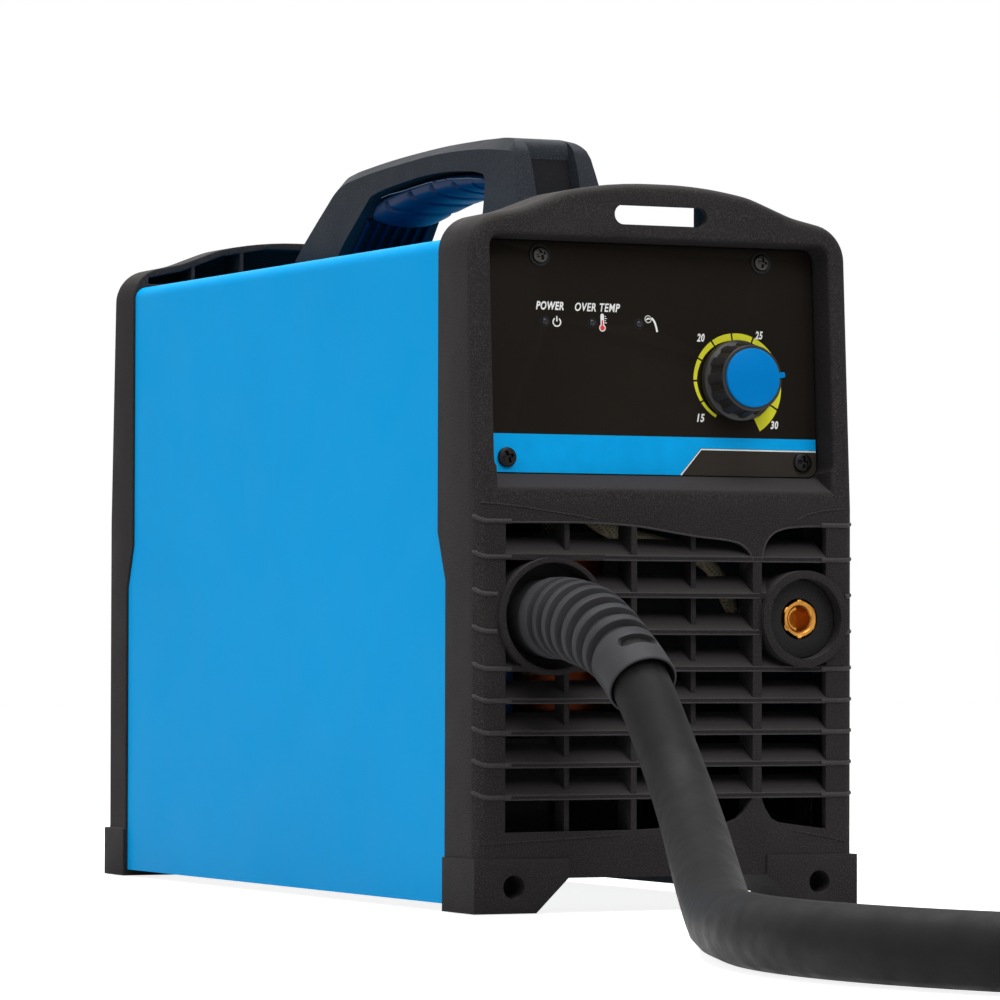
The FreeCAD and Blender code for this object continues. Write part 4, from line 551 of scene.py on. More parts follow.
def coil_points():
    """Control points of the turns: inwards on the floor, up a layer, and outwards again."""
    inmost = COIL_MEAN - COIL_PITCH * COIL_QUARTERS / 16
    step = pi / 2 / POINTS_EACH_QUARTER
    # A quadratic spline cuts inside its control points, so these stand out by that much.
    outward = 1 / (0.75 + 0.25 * cos(step))
    points = []
    for i in range(COIL_QUARTERS * POINTS_EACH_QUARTER + 1):
        off = i / POINTS_EACH_QUARTER - COIL_QUARTERS / 2
        radius = (inmost + COIL_PITCH * abs(off) / 4) * outward
        climb = clamp((off + 1) / 2)
        height = LEAD_HEIGHT + LAYER_RISE * climb * climb * (3 - 2 * climb)
        angle = COIL_START + step * i
        spot = COIL_CENTRE + Vector((cos(angle), sin(angle))) * radius
        points.append(Vector((spot.x, spot.y, height)))
    return points


def lead_route():
    """The whole lead's control points, from the boot to the torch."""
    start, turned = boot_point(BOOT_LENGTH)
    way = Vector((0, -cos(turned), -sin(turned)))
    down = Vector((0, -cos(LEAD_DIP), -sin(LEAD_DIP)))
    turns = coil_points()
    coil_end = COIL_START + COIL_QUARTERS * pi / 2
    way_in, way_out = (Vector((-sin(a), cos(a), 0)) for a in (COIL_START, coil_end))
    end = Vector((TORCH_X, TORCH_START, TORCH_HEIGHT))
    return [start - way * LEAD_ROOT, start - way, start + down * LEAD_FIRST_RUN,
            *(Vector(p) for p in LEAD_POINTS), *(turns[0] - way_in * run for run in COIL_IN_RUNS), *turns,
            turns[-1] + way_out * COIL_OUT_RUN, *(Vector(p) for p in TAIL_POINTS),
            end + Vector((0, TORCH_RUN, 0)), end]


def smooth_curve(name, points, radius, material, thin):
    """A round tube on one quadratic spline through its control polygon, thinner at its first points."""
    data = bpy.data.curves.new(name, "CURVE")
    data.dimensions = "3D"
    data.bevel_depth = radius * MM
    data.bevel_resolution = 6
    data.resolution_u = 8
    data.use_fill_caps = True
    spline = data.splines.new("NURBS")
    spline.points.add(len(points) - 1)
    for point, spot in zip(spline.points, points):
        point.co = (*at(*spot), 1)
    for point, share in zip(spline.points, thin):
        point.radius = share
    spline.order_u = 3
    spline.use_endpoint_u = True
    data.materials.append(material)
    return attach(added(name, data), "unit")


def spline_length(curve):
    """The length of the curve's own line, in metres."""
    bare = curve.data.copy()
    bare.bevel_depth = 0
    holder = bpy.data.objects.new("length_of_lead", bare)
    mesh = bpy.data.meshes.new_from_object(holder)
    spots = [v.co for v in mesh.vertices]
    bpy.data.objects.remove(holder)
    return sum((b - a).length for a, b in zip(spots, spots[1:]))


LEAD_THIN = (0.92, 0.92, 0.94, 0.97)


def make_lead():
    route = lead_route()
    lead = smooth_curve("torch_lead_cable", route, CABLE_RADIUS, CABLE, LEAD_THIN)
    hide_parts("torch_lead", "lead_coil", "lead_tail")
    length = spline_length(lead)
    make_boot()
    make_torch_boot()


# Ink and lettering on the panel, in the plate's own frame


INK_LOW, INK_HIGH, OVERPRINT = 0.02, 0.05, 0.02
PLATE_HALF, PLATE_LOW, PLATE_CORNER = 68.9, 12.45, 3.9
STRIPE_TOP, BLOCK_TOP = 26.7, 22.1
LETTER_SLANT, LETTER_SPACE, LETTER_HEIGHT = 0.24, 1.12, 3.2
DIAL = Vector((36.2, 48.1))
# Each row holds an angle and the scale's inner and outer radius there.
DIAL_EDGE = [(235.6, 15.6, 16.7), (180, 16.9, 18.3), (90, 15.2, 18), (0, 15, 18.5),
             (-64, 15, 20.8)]
DIAL_GAPS, DIAL_GAP_HALF = [208, 180.6, 153, 125, 96, 66, 33.5, 0.8, -32], 1.15
DIAL_NUMBERS = {"15": (20.6, 34), "20": (21.4, 64.1), "25": (46, 65.6), "30": (51.6, 31.9)}
LAMPS = (("power_lamp", -43, "lamp_green"), ("over_temp_lamp", -23.65, "lamp_red"),
         ("pilot_lamp", -4.3, "lamp_yellow"))
LAMP_UP = 68.5
POWER_SIGN, THERMOMETER_X, TORCH_LOOP = (-38.15, 68.3), -19.45, (-0.45, 70.4)


def ink(name, material, *outlines, proud=0):
    """Outlines printed on the plate, as one piece."""
    shape = Shape()
    for outline in outlines:
        shape.prism(outline, INK_LOW, INK_HIGH + proud)
    shape.piece(name, PANEL, material, smooth=20)


def lettering(name, words, middle, size, weight=0.034):
    """Bold slanted words, fitted to a width and height about a centre on the plate."""
    font = bpy.data.curves.new(name, "FONT")
    font.body, font.space_character = words, LETTER_SPACE
    font.shear, font.offset, font.extrude, font.resolution_u = LETTER_SLANT, weight, 0.01, 3
    holder = bpy.data.objects.new(name + "_words", font)
    mesh = bpy.data.meshes.new_from_object(holder)
    bpy.data.objects.remove(holder)
    spots = [v.co.copy() for v in mesh.vertices]
    low, high = (Vector([pick(s[i] for s in spots) for i in range(3)]) for pick in (min, max))
    for vertex, spot in zip(mesh.vertices, spots):
        x, y, z = ((spot[i] - low[i]) / (high[i] - low[i]) for i in range(3))
        vertex.co = PANEL @ Vector((middle[0] + (x - 0.5) * size[0], middle[1] + (y - 0.5) * size[1],
                                    INK_LOW + z * (INK_HIGH - INK_LOW)))
    mesh.materials.clear()
    mesh.materials.append(WHITE_INK)
    placed(name, mesh, "unit")


def dial_radii(angle):
    """The inner and outer edge of the dial's scale at an angle in degrees."""
    for (start, in_a, out_a), (end, in_b, out_b) in zip(DIAL_EDGE, DIAL_EDGE[1:]):
        if angle >= end:
            share = (start - angle) / (start - end)
            return in_a + (in_b - in_a) * share, out_a + (out_b - out_a) * share
    return DIAL_EDGE[-1][1:]


def make_dial():
    scale = Shape()
    gaps = [angle for gap in DIAL_GAPS for angle in (gap + DIAL_GAP_HALF, gap - DIAL_GAP_HALF)]
    ends = [DIAL_EDGE[0][0], *gaps, DIAL_EDGE[-1][0]]
    for start, end in zip(ends[::2], ends[1::2]):
        steps = max(2, round((start - end) / 3))
        rings = []
        for i in range(steps + 1):
            angle = start + (end - start) * i / steps
            way = Vector((cos(radians(angle)), sin(radians(angle))))
            inner, outer = (DIAL + way * radius for radius in dial_radii(angle))
            rings.append([(*inner, INK_LOW), (*outer, INK_LOW), (*outer, INK_HIGH), (*inner, INK_HIGH)])
        scale.skin(rings)
    scale.piece("dial_scale", PANEL, YELLOW_INK, smooth=20)
    for words, middle in DIAL_NUMBERS.items():
        lettering("dial_" + words, words, middle, (3.3, 3.1))


def make_stripe():
    """The blue stripe along the plate's foot, the dark block at its right and a fine line between."""
    corner_x, corner_up = PLATE_HALF - PLATE_CORNER, PLATE_LOW + PLATE_CORNER
    left = arc((-corner_x, corner_up), PLATE_CORNER, 180, 270, 6)
    right = arc((corner_x, corner_up), PLATE_CORNER, 270, 360, 6)
    ink("stripe", BLUE_INK, [(-PLATE_HALF, STRIPE_TOP), *left, (11.3, PLATE_LOW), (20.1, BLOCK_TOP + 0.5),
                             (PLATE_HALF, BLOCK_TOP + 0.4), (PLATE_HALF, STRIPE_TOP)])
    line = [(11.7, PLATE_LOW), (20.4, BLOCK_TOP + 0.1), (PLATE_HALF, BLOCK_TOP)]
    ink("stripe_line", WHITE_INK, band(line, 0.5), proud=OVERPRINT)
    ink("stripe_block", GREY_INK, [(12.2, PLATE_LOW), *right, (PLATE_HALF, BLOCK_TOP - 0.3),
                                   (20.7, BLOCK_TOP - 0.2)])


def make_icons():
    """A power sign, a thermometer and a plain torch, beside the three lamps."""
    x, up = POWER_SIGN
    ink("power_sign", WHITE_INK, band(arc(POWER_SIGN, 1.55, 125, 415, 28), 0.5),
        band([(x, up + 0.2), (x, up + 2.2)], 0.5))
    stem, marks = THERMOMETER_X, []
    for step in range(4):
        level, reach = 68.4 + 0.8 * step, stem + 1.9 - 0.4 * (step % 2)
        marks.append([(stem + 1, level), (reach, level), (reach, level + 0.28), (stem + 1, level + 0.28)])
    glass = [*arc((stem, 66.6), 1.35, 123, 417, 24), *arc((stem, 71.2), 0.72, 0, 180, 10)]
    red = [*arc((stem, 66.6), 0.95, 110, 430, 20), *arc((stem, 69.2), 0.32, 0, 180, 6)]
    ink("thermometer_glass", WHITE_INK, glass, *marks)
    ink("thermometer_red", RED_INK, red, proud=OVERPRINT)
    handle = smooth_line([(1, 70.9), (2.1, 69.6), (2.8, 67.7), (3.2, 65.7)], 5)
    ink("torch_sign", WHITE_INK, band(arc(TORCH_LOOP, 1.3, 0, 360, 26), 0.24),
        band([(-1.3, 70.1), (-0.4, 70.7), (0.5, 70.4)], 0.55), band(handle, 0.75))
    lettering("word_power", "POWER", (-40.9, 74.3), (11.4, LETTER_HEIGHT))
    lettering("word_over_temp", "OVER TEMP", (-21.3, 74.2), (18.6, LETTER_HEIGHT), 0.022)


# Screws


SCREW_STEPS, SCREW_RINGS = 56, 22
# Shares of a head's height that its dome and its cross take, and of its radius that the cross takes
SCREW_DOME, CROSS_DEEP, CROSS_WIDE, CROSS_LONG = 0.38, 0.75, 0.15, 0.6
FIRST_TURN, NEXT_TURN, SHANK = 0.35, 1.1, 1.55
TOP_SCREWS, LOW_SCREWS = [(-44.6, 93), (47.6, 93)], [(-59.9, 17.9), (62.9, 17.9)]
WASHER = [(3.1, 0.02), (4.2, 0.02), (4.2, 0.42), (4, 0.55), (3.3, 0.55), (3.1, 0.4)]


def cross_depth(x, y, half_width, half_length):
    """1 inside a cross-shaped recess, 0 outside, with a short slope between."""
    def inside(a, b):
        return clamp((half_width - abs(a)) / 0.15 + 0.5) * clamp((half_length - abs(b)) / 0.35 + 0.5)
    return max(inside(x, y), inside(y, x))


def screw_head(radius, height, turn):
    """A pan head with a cross recess, its face a fine grid of rings."""
    def level(r, a):
        dome = height * (1 - SCREW_DOME + SCREW_DOME * sqrt(max(0, 1 - (r / radius) ** 2.4)))
        x, y = r * cos(a - turn), r * sin(a - turn)
        deep = cross_depth(x, y, radius * CROSS_WIDE, radius * CROSS_LONG)
        return dome - CROSS_DEEP * height * deep * (1 - 0.35 * r / radius)

    turns, tip = around(SCREW_STEPS), radius * 0.002
    radii = [radius * 0.999, *[radius * i / SCREW_RINGS for i in range(SCREW_RINGS - 1, 0, -1)]]
    return Shape().skin([circle(radius * 0.5, 0, SCREW_STEPS), circle(radius, 0, SCREW_STEPS),
                         circle(radius, height * 0.35, SCREW_STEPS),
                         *[[(r * cos(a), r * sin(a), level(r, a)) for a in turns] for r in radii],
                         [(tip * cos(a), tip * sin(a), level(0, a)) for a in turns]])


def make_screws(name, spots, place, radius, height, material, shank=0):
    shape = Shape()
    for i, spot in enumerate(spots):
        start = len(shape.points)
        head = screw_head(radius, height, FIRST_TURN + NEXT_TURN * i)
        shape.add(head.points, head.faces)
        if shank:
            shape.lathe([(0.01, -shank), (SHANK, -shank), (SHANK, 0.05), (0.01, 0.05)], steps=20)
        shape.turned(Matrix.Translation((*spot, 0)), start)
    return shape.piece(name, place, material, smooth=40)


def make_panel_screws():
    washers = Shape()
    for spot in TOP_SCREWS:
        washers.lathe(WASHER, spot, 48)
    washers.piece("panel_washers", PANEL, BLACK_PLASTIC)
    for name, spots, radius, material in (("top", TOP_SCREWS, 3, DARK_STEEL),
                                          ("low", LOW_SCREWS, 3.6, BLACK_STEEL)):
        heads = make_screws(f"panel_screw_heads_{name}", spots, PANEL, radius, 1.6, material, 6)
        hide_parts("panel_screws_" + name)


# Knob: a skirt, a tapering body with wide flutes, and a blue cap with its pointer


KNOB_AT = PANEL @ Matrix.Translation((DIAL.x, DIAL.y, 0))
# A flute's half width and slope are shares of the pitch.
KNOB_FLUTES, KNOB_STEPS, FLUTE_DEEP, FLUTE_HALF, FLUTE_SLOPE = 12, 144, 0.8, 0.26, 0.05
# Profiles of radius and height
KNOB_SKIRT = [(9, 0.5), (15, 0.5), (15.3, 0.8), (15.3, 2.2), (15, 2.9), (14.4, 3.3), (14.1, 3.5)]
KNOB_FLUTED = [(14, 3.7), (12.7, 11.6)]
KNOB_TOP = [(12.55, 11.8), (12.4, 12.2), (12.1, 12.4), (3.2, 12.4)]
KNOB_CAP = [(0.01, 12.4), (11.05, 12.4), (11.05, 13.2), (10.9, 13.45), (10.6, 13.58), (0.01, 13.6)]
KNOB_HOLE = [(0.01, 0), (1.15, 0), (1.15, 0.35), (0.8, 0.35), (0.8, 0.12), (0.01, 0.12)]
HOLE_ANGLE, HOLE_OUT, HOLE_UP = radians(183), 12.95, 7
POINTER, POINTER_LEAN = rounded_box((9.6, -1), (13.25, 1), 0.5), radians(6)
POINTER_LOW, POINTER_TOP = 12.45, 13.55


def fluted_ring(radius, z):
    """A ring of the knob's body, drawn in at its flutes."""
    points = []
    for i, a in enumerate(around(KNOB_STEPS)):
        phase = (i * KNOB_FLUTES / KNOB_STEPS) % 1
        r = radius - FLUTE_DEEP * clamp((FLUTE_HALF - abs(phase - 0.5)) / FLUTE_SLOPE)
        points.append((r * cos(a), r * sin(a), z))
    return points


def make_knob():
    skirt, top = ([circle(*spot, KNOB_STEPS) for spot in row] for row in (KNOB_SKIRT, KNOB_TOP))
    body = Shape().skin([*skirt, *[fluted_ring(*spot) for spot in KNOB_FLUTED], *top])
    knob = body.piece("current_knob_body", KNOB_AT, KNOB_BLACK, "knob", smooth=30)
    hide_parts("current_knob")
    cap = Shape().lathe(KNOB_CAP, steps=96)
    start = len(cap.points)
    cap.prism(POINTER, POINTER_LOW, POINTER_TOP)
    cap.turned(Matrix.Rotation(POINTER_LEAN, 4, "Z"), start)
    cap_piece = cap.piece("knob_cap_blue", KNOB_AT, KNOB_BLUE, "knob", smooth=30)
    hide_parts("knob_cap")
    outward = Matrix.Translation((HOLE_OUT * cos(HOLE_ANGLE), HOLE_OUT * sin(HOLE_ANGLE), HOLE_UP))
    tip_out = Matrix.Rotation(HOLE_ANGLE, 4, "Z") @ Matrix.Rotation(pi / 2, 4, "Y")
    hole = Shape().lathe(KNOB_HOLE, steps=24).turned(outward @ tip_out)
    hole.piece("knob_screw_hole", KNOB_AT, BLACK_STEEL, "knob")


SOCKET = (56.4, 107.5)
SOCKET_FLATS, SOCKET_FRONT = 13, -2.2
SOCKET_HEX = [(7.6, -27), (7.6, -0.75), (7.15, -0.3), (6.6, 0)]
SOCKET_ROUND = [(5.5, 0), (5.1, -0.25), (4.55, -1.1), (4.5, -12)]
KEY_STEP = [*arc((0, 0), 4.6, 95, 265, 18), *arc((0, 0), 3.3, 265, 95, 18)]
KEY_BACK, KEY_FRONT = SOCKET_FRONT - 11, SOCKET_FRONT - 2.6


def socket_ring(radius, z, hexed):
    spots = []
    for a in around(120):
        flat = SOCKET_FLATS / 2 / cos((a + pi / 6) % (pi / 3) - pi / 6)
        r = min(radius, flat) if hexed else radius
        spots.append((SOCKET[0] + r * cos(a), SOCKET[1] + r * sin(a), SOCKET_FRONT + z))
    return spots


def make_socket():
    """The brass body of the work socket: chamfered hex corners, a flared bore and the step of its key."""
    rings = [socket_ring(*spot, True) for spot in SOCKET_HEX]
    body = Shape().skin(rings + [socket_ring(*spot, False) for spot in SOCKET_ROUND])
    body.prism([(x + SOCKET[0], y + SOCKET[1]) for x, y in KEY_STEP], KEY_BACK, KEY_FRONT)
    piece = body.piece("socket_body", FACING, BRASS, smooth=30)
    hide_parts("work_socket")


LAMP_LENS = [(0.01, -1.8), (1.4, -1.8), (1.4, 0.25), (1.2, 0.55), (0.8, 0.74), (0.4, 0.79), (0.01, 0.8)]
LAMP_RIM = [(1.45, 0.01), (1.95, 0.01), (1.9, 0.1), (1.5, 0.12)]


def make_lamps():
    """Domed lenses in fine dark rims."""
    rims = Shape()
    for name, x, slot in LAMPS:
        piece = Shape().lathe(LAMP_LENS, (x, LAMP_UP), 40).piece(name + "_lens", PANEL, LENS, smooth=60)
        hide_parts(name)
        rims.lathe(LAMP_RIM, (x, LAMP_UP), 40)
    rims.piece("lamp_rims", PANEL, BLACK_PLASTIC)


# Front bezel: a copy of the solid with a soft lip round its recess, and raised lines on its strips, lighter
# as painted highlights


MOUTH_HALF, MOUTH_LOW, MOUTH_HIGH = 71, 5, 99.5
LIP_ROUND = 2.8
GRILLE_HALF, GRILLE_TOP = 66.2, 142
BARS, BAR_HALF = [128.4, 114.87, 101.34, 87.81, 76.1, 64.4, 52.7, 41], 1.05
SWOOSHES = [[(-66.2, 142), (-27.95, 142), (-11.65, 141), (4.85, 138.6), (13.15, 137.5),
             (25.65, 136.2), (28.95, 135.5), (31.75, 134.1), (33.95, 132.1), (35.35, 129)],
            [(39.05, 129), (39.95, 133.4), (41.55, 136.7), (44.45, 139.4), (48.65, 140.9),
             (54.05, 141.6), (66.2, 142)]]
CREASES = [[(-76.5, 149), (-68.6, 148.6), (-48.4, 146.2), (-28, 143.3)],
           [(75, 148.6), (63.6, 147.4), (55, 144.7), (52, 142.4)],
           [(51, 29), (63, 26.8), (75.5, 24.2)], [(-76.5, 25), (-52, 26.2), (-15.5, 28.2)]]
# The lines on the side strips turn the corner through these points: across, back and up.
STRIP_CORNER = [(74.9, 0.45, 0.25), (76.3, 1.3, 0.9), (77.3, 2.5, 1.7), (77.7, 4, 2.3)]
STRIP_START, STRIP_MIDDLE, STRIP_BACK, RING_LEVEL, RING_REACH = 64, 74.8, 0.2, 108, 12
LINE_RADIUS, LINE_FADE = 0.95, [0.9, 0.8, 0.65, 0.45, 0.2]
# For the left and right strip: where a line starts beside a ring, and its rise round the corner
STRIP_SIDES = ((-1, 69.6, 1), (1, 74.2, 0.35))
# The collar and the socket's ring, by side: the height, reach and place at which they end the louvres' lines
LOUVRE_CUTS = ((-1, 107, 21.5, -26), (1, 106.5, 18, 38))
SWOOSH_LINE, LOUVRE_LINE, CREASE_LINE, CREASE_TIP = 0.42, 0.28, 0.5, 0.15
LOUVRE_EDGES = (0.25, 1.85)


def round_lip(mesh):
    """Rounds the edges of the panel recess where they meet the leaning face."""
    work = bmesh.new()
    work.from_mesh(mesh)
    bmesh.ops.remove_doubles(work, verts=work.verts, dist=SAME_NODE_POINT)
    bmesh.ops.dissolve_limit(work, angle_limit=SAME_FACE, verts=work.verts, edges=work.edges)
    local = PANEL.inverted()

    def in_mouth(vert):
        spot = local @ vert.co
        level = abs(spot.z - RECESS_DEPTH) < 0.06
        return level and abs(spot.x) < MOUTH_HALF and MOUTH_LOW < spot.y < MOUTH_HIGH

    lip = [edge for edge in work.edges if all(in_mouth(v) for v in edge.verts) and len(edge.link_faces) == 2
           and edge.calc_face_angle(0) > 0.3]
    bmesh.ops.bevel(work, geom=lip, offset=LIP_ROUND * MM, offset_type="OFFSET", segments=5, profile=0.5,
                    affect="EDGES", clamp_overlap=True)
    work.to_mesh(mesh)
    work.free()


def make_bezel():
    mesh = NODES["front_bezel"].data.copy()
    mesh.name = "front_bezel_moulding"
    mesh.materials.clear()
    mesh.materials.append(BEZEL)
    round_lip(mesh)
    bezel = placed("front_bezel_moulding", mesh, "unit", 0.45, 32, 3)
    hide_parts("front_bezel")


def rod(shape, spots, radii, steps=10):
    """A round rod through points in space, of one radius or one for each point."""
    rings = []
    for i, spot in enumerate(spots):
        ahead = (spots[min(i + 1, len(spots) - 1)] - spots[max(i - 1, 0)]).normalized()
        side = ahead.cross(Vector((0, 1, 0.001))).normalized()
        above = side.cross(ahead)
        radius = radii[i] if isinstance(radii, list) else radii
        rings.append([spot + (side * cos(a) + above * sin(a)) * radius for a in around(steps)])
    shape.skin(rings)


def make_bezel_lines():
    """Raised lines on the side strips, along the swooshes and the louvres' edges, lighter than the bezel as
    painted highlights, and the creases in the bezel's own colour.
    """
    shape = Shape()
    for low in [*BARS, GRILLE_TOP - 0.6]:
        level = low + BAR_HALF
        for side, past_ring, curl in STRIP_SIDES:
            start = past_ring if abs(level - RING_LEVEL) < RING_REACH else STRIP_START
            strip = [(start, STRIP_BACK, 0), ((start + STRIP_MIDDLE) / 2, STRIP_BACK, 0.02), *STRIP_CORNER]
            spots = smooth_line([(side * x, level + z * curl, -y) for x, y, z in strip], 4)
            rod(shape, spots, [LINE_RADIUS] * (len(spots) - len(LINE_FADE)) + LINE_FADE)
    for line in SWOOSHES:
        rod(shape, smooth_line([(x, z + 0.15, -0.3) for x, z in line], 4), SWOOSH_LINE, 8)
    for low in BARS:
        left, right = (edge if abs(low - level) < reach else side * GRILLE_HALF
                       for side, level, reach, edge in LOUVRE_CUTS)
        for up in LOUVRE_EDGES:
            rod(shape, [Vector((x, low + up, -0.05)) for x in (left, 0, right)], LOUVRE_LINE, 8)
    # These lines are lighter than the bezel: painted highlights.
    shape.piece("bezel_lines", FACING, BEZEL_HIGHLIGHT, smooth=60)
    creases = Shape()
    for line in CREASES:
        spots = smooth_line([(x, z, -0.2) for x, z in line], 6)
        rod(creases, spots, [CREASE_TIP, *[CREASE_LINE] * (len(spots) - 2), CREASE_TIP], 8)
    creases.piece("bezel_creases", FACING, BEZEL, smooth=60)


# Boot: ribs round the bend, a slot on top and a thin-walled end that the cable comes out of


GROOVES, GROOVE_FIRST, GROOVE_PITCH, GROOVE_WIDE, GROOVE_DEEP = 7, 7, 7.9, 4.4, 2.7
# Places across a groove's width, and the share of its depth there
GROOVE_SHAPE = ((-0.1, 0), (-0.03, 0.06), (0, 0.25), (0.07, 1), (0.93, 1), (1, 0.25), (1.03, 0.06),
                (1.1, 0))
CREST, CREST_FALL, CREST_FALL_START = 15, 2.3, 28
SLOT_MIDDLE, SLOT_REACH, SLOT_DEEP, SLOT_HALF, SLOT_STEPS = 66.2, 2.5, 2, radians(38), 16
BOOT_BORE, BOOT_STEPS, SLOT_SLOPE = 11.75, 144, 0.05
BOOT_ROOT = ((-26, 14.2), (0, 14.2), (0.4, 14.9))
# Places before the boot's end, and the radius there
BOOT_MOUTH = ((0.7, 12.75), (0.25, 12.68), (0, 12.45), (0, 12), (0.3, BOOT_BORE), (9, BOOT_BORE),
              (9.1, 8))


def boot_ring(along, radius, deep=0, half=0):
    """A ring about the boot's line. A slot on top, of a half angle, goes deep into it."""
    spot, turned = boot_point(along)
    side, above = Vector((1, 0, 0)), Vector((0, -sin(turned), cos(turned)))
    points = []
    for a in around(BOOT_STEPS):
        inside = clamp((half - abs(a - pi / 2)) / SLOT_SLOPE + 0.5)
        points.append(spot + (side * cos(a) + above * sin(a)) * (radius - deep * inside))
    return points


def boot_crest(along):
    return CREST - CREST_FALL * clamp((along - CREST_FALL_START) / CREST_FALL_START)


def make_boot():
    rings = [boot_ring(*spot) for spot in BOOT_ROOT]
    for i in range(GROOVES):
        for share, drop in GROOVE_SHAPE:
            along = GROOVE_FIRST + i * GROOVE_PITCH + share * GROOVE_WIDE
            rings.append(boot_ring(along, boot_crest(along) - drop * GROOVE_DEEP))
    for i in range(SLOT_STEPS + 1):
        off = sin(pi * (i / SLOT_STEPS - 0.5))
        along = SLOT_MIDDLE + SLOT_REACH * off
        half = SLOT_HALF - (1 - sqrt(1 - off * off)) * SLOT_REACH / CREST
        rings.append(boot_ring(along, boot_crest(along), SLOT_DEEP if 0 < i < SLOT_STEPS else 0, half))
    rings += [boot_ring(BOOT_LENGTH - before, radius) for before, radius in BOOT_MOUTH]
    boot = Shape().skin(rings).piece("ribbed_boot", UNIT, BOOT, smooth=38)
    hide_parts("strain_relief")
    return boot


# Torch: its ribbed boot, ridges on the back of the handle and the screws of its halves


TORCH = frame_at(at(TORCH_X, TORCH_START, TORCH_HEIGHT), Matrix.Rotation(pi / 2, 3, "X"))
TORCH_BOOT_RIBS, TORCH_BOOT_LENGTH, TORCH_LIP, TORCH_RIM = 5, 35, 6, 3
TORCH_RIDGES, RIDGE_FIRST, RIDGE_PITCH, RIDGE_OUT = 11, 88, 6, -16.9
TORCH_SCREWS, TORCH_SCREW_UP = [(7, -58), (-7, -158)], 16


def make_torch_boot():
    """Z runs from the cable to the torch."""
    pitch = (TORCH_BOOT_LENGTH - TORCH_LIP - TORCH_RIM) / TORCH_BOOT_RIBS
    profile = [(11, 0), (12.4, 0), (12.7, 0.3), (12.8, TORCH_RIM)]
    for i in range(TORCH_BOOT_RIBS):
        low, groove, crest = TORCH_RIM + i * pitch, 12.4 + 0.25 * i, 13.4 + 0.38 * i
        for radius, share in ((groove, 0), (groove, 0.4), (crest - 0.2, 0.45), (crest, 0.52), (crest, 0.9),
                              (crest - 0.2, 0.97)):
            profile.append((radius, low + share * pitch))
    top = TORCH_BOOT_LENGTH
    profile += [(15.3, top - TORCH_LIP), (15.5, top - TORCH_LIP + 0.3), (15.5, top - 0.3), (15.3, top),
                (11, top)]
    boot = Shape().lathe(profile, steps=72).piece("torch_boot_ribbed", TORCH, BOOT, smooth=30)
    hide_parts("torch_boot")
    return boot


def make_torch_details():
    ridges = Shape()
    for i in range(TORCH_RIDGES):
        along = RIDGE_FIRST + RIDGE_PITCH * i
        spots = [Vector((RIDGE_OUT, z, along)) for z in (-8, -7, 0, 7, 8)]
        rod(ridges, spots, [0.2, 0.9, 0.9, 0.9, 0.2])
    ridges.piece("torch_ridges", TORCH, TORCH_PLASTIC, smooth=60)
    up = TORCH @ Matrix.Translation((0, TORCH_SCREW_UP, 0)) @ Matrix.Rotation(-pi / 2, 4, "X")
    make_screws("torch_screws", TORCH_SCREWS, up, 2.6, 0.9, DARK_STEEL)


# Handle: lofted along three lines, with a channel up its front post, and a moulded grip under it


# Points in Y and Z
TOP_LINE = [(84, 247.5), (92, 268), (98, 284), (100.3, 288.6), (104.5, 291.6), (109.5, 293.1), (132, 295.1),
            (154.5, 295.8), (173.5, 296), (202.6, 295.5), (222, 294.9), (252, 293.3), (268, 292), (278, 290),
            (284.5, 285.5), (308.5, 262), (322, 247.5)]
EDGE_LINE = [(84, 247.5), (92, 268), (97.6, 283), (99, 286), (103.5, 287.9), (108.3, 288.5), (126.5, 290.4),
             (154.5, 291.7), (173.5, 291.9), (202.6, 291), (222, 290.2), (252.7, 288), (264, 286.6),
             (271.5, 283.8), (278, 279.2), (304.7, 258.9), (319.7, 247.5)]
UNDER_LINE = [(121, 247.5), (121.3, 262), (122, 271), (122.8, 276.8), (124.6, 279.7), (131, 281.6),
              (145, 283.2), (164, 284.3), (183, 284.3), (202.5, 283.2), (222, 281.6), (229, 280.6),
              (234.3, 279.3), (237.5, 276.6), (241, 273.8), (259.6, 258.5), (273, 247.5)]
FLAT_HALF = [18.6, 18.6, 17.2, 15.4, 13.4, 11.4, 9.8] + [9] * 10
CHANNEL_DROP = [6, 6, 5.5, 4, 1.5] + [0] * 12
CHANNEL_HALF, SHADE_PLATE_HALF, SHADE_PLATE_THICK, SHADE_PLATE_RINGS, SHADE_PLATE_LIFT = 9.6, 9, 0.8, 10, 0.3
HANDLE_HALF, HANDLE_NARROWS, NARROWS_FROM, NARROWS_OVER = 19.6, 3.4, 262, 25
LEAST_BEVEL, LEAST_LEDGE, LEAST_CHANNEL = 0.8, 1, 0.05


def handle_half(z):
    return HANDLE_HALF - HANDLE_NARROWS * clamp((z - NARROWS_FROM) / NARROWS_OVER)


def smooth_values(values):
    """A smooth run of numbers through the values, in step with the smooth lines."""
    return [v.x for v in smooth_line([(n, 5 * i, 0) for i, n in enumerate(values)], 4)]


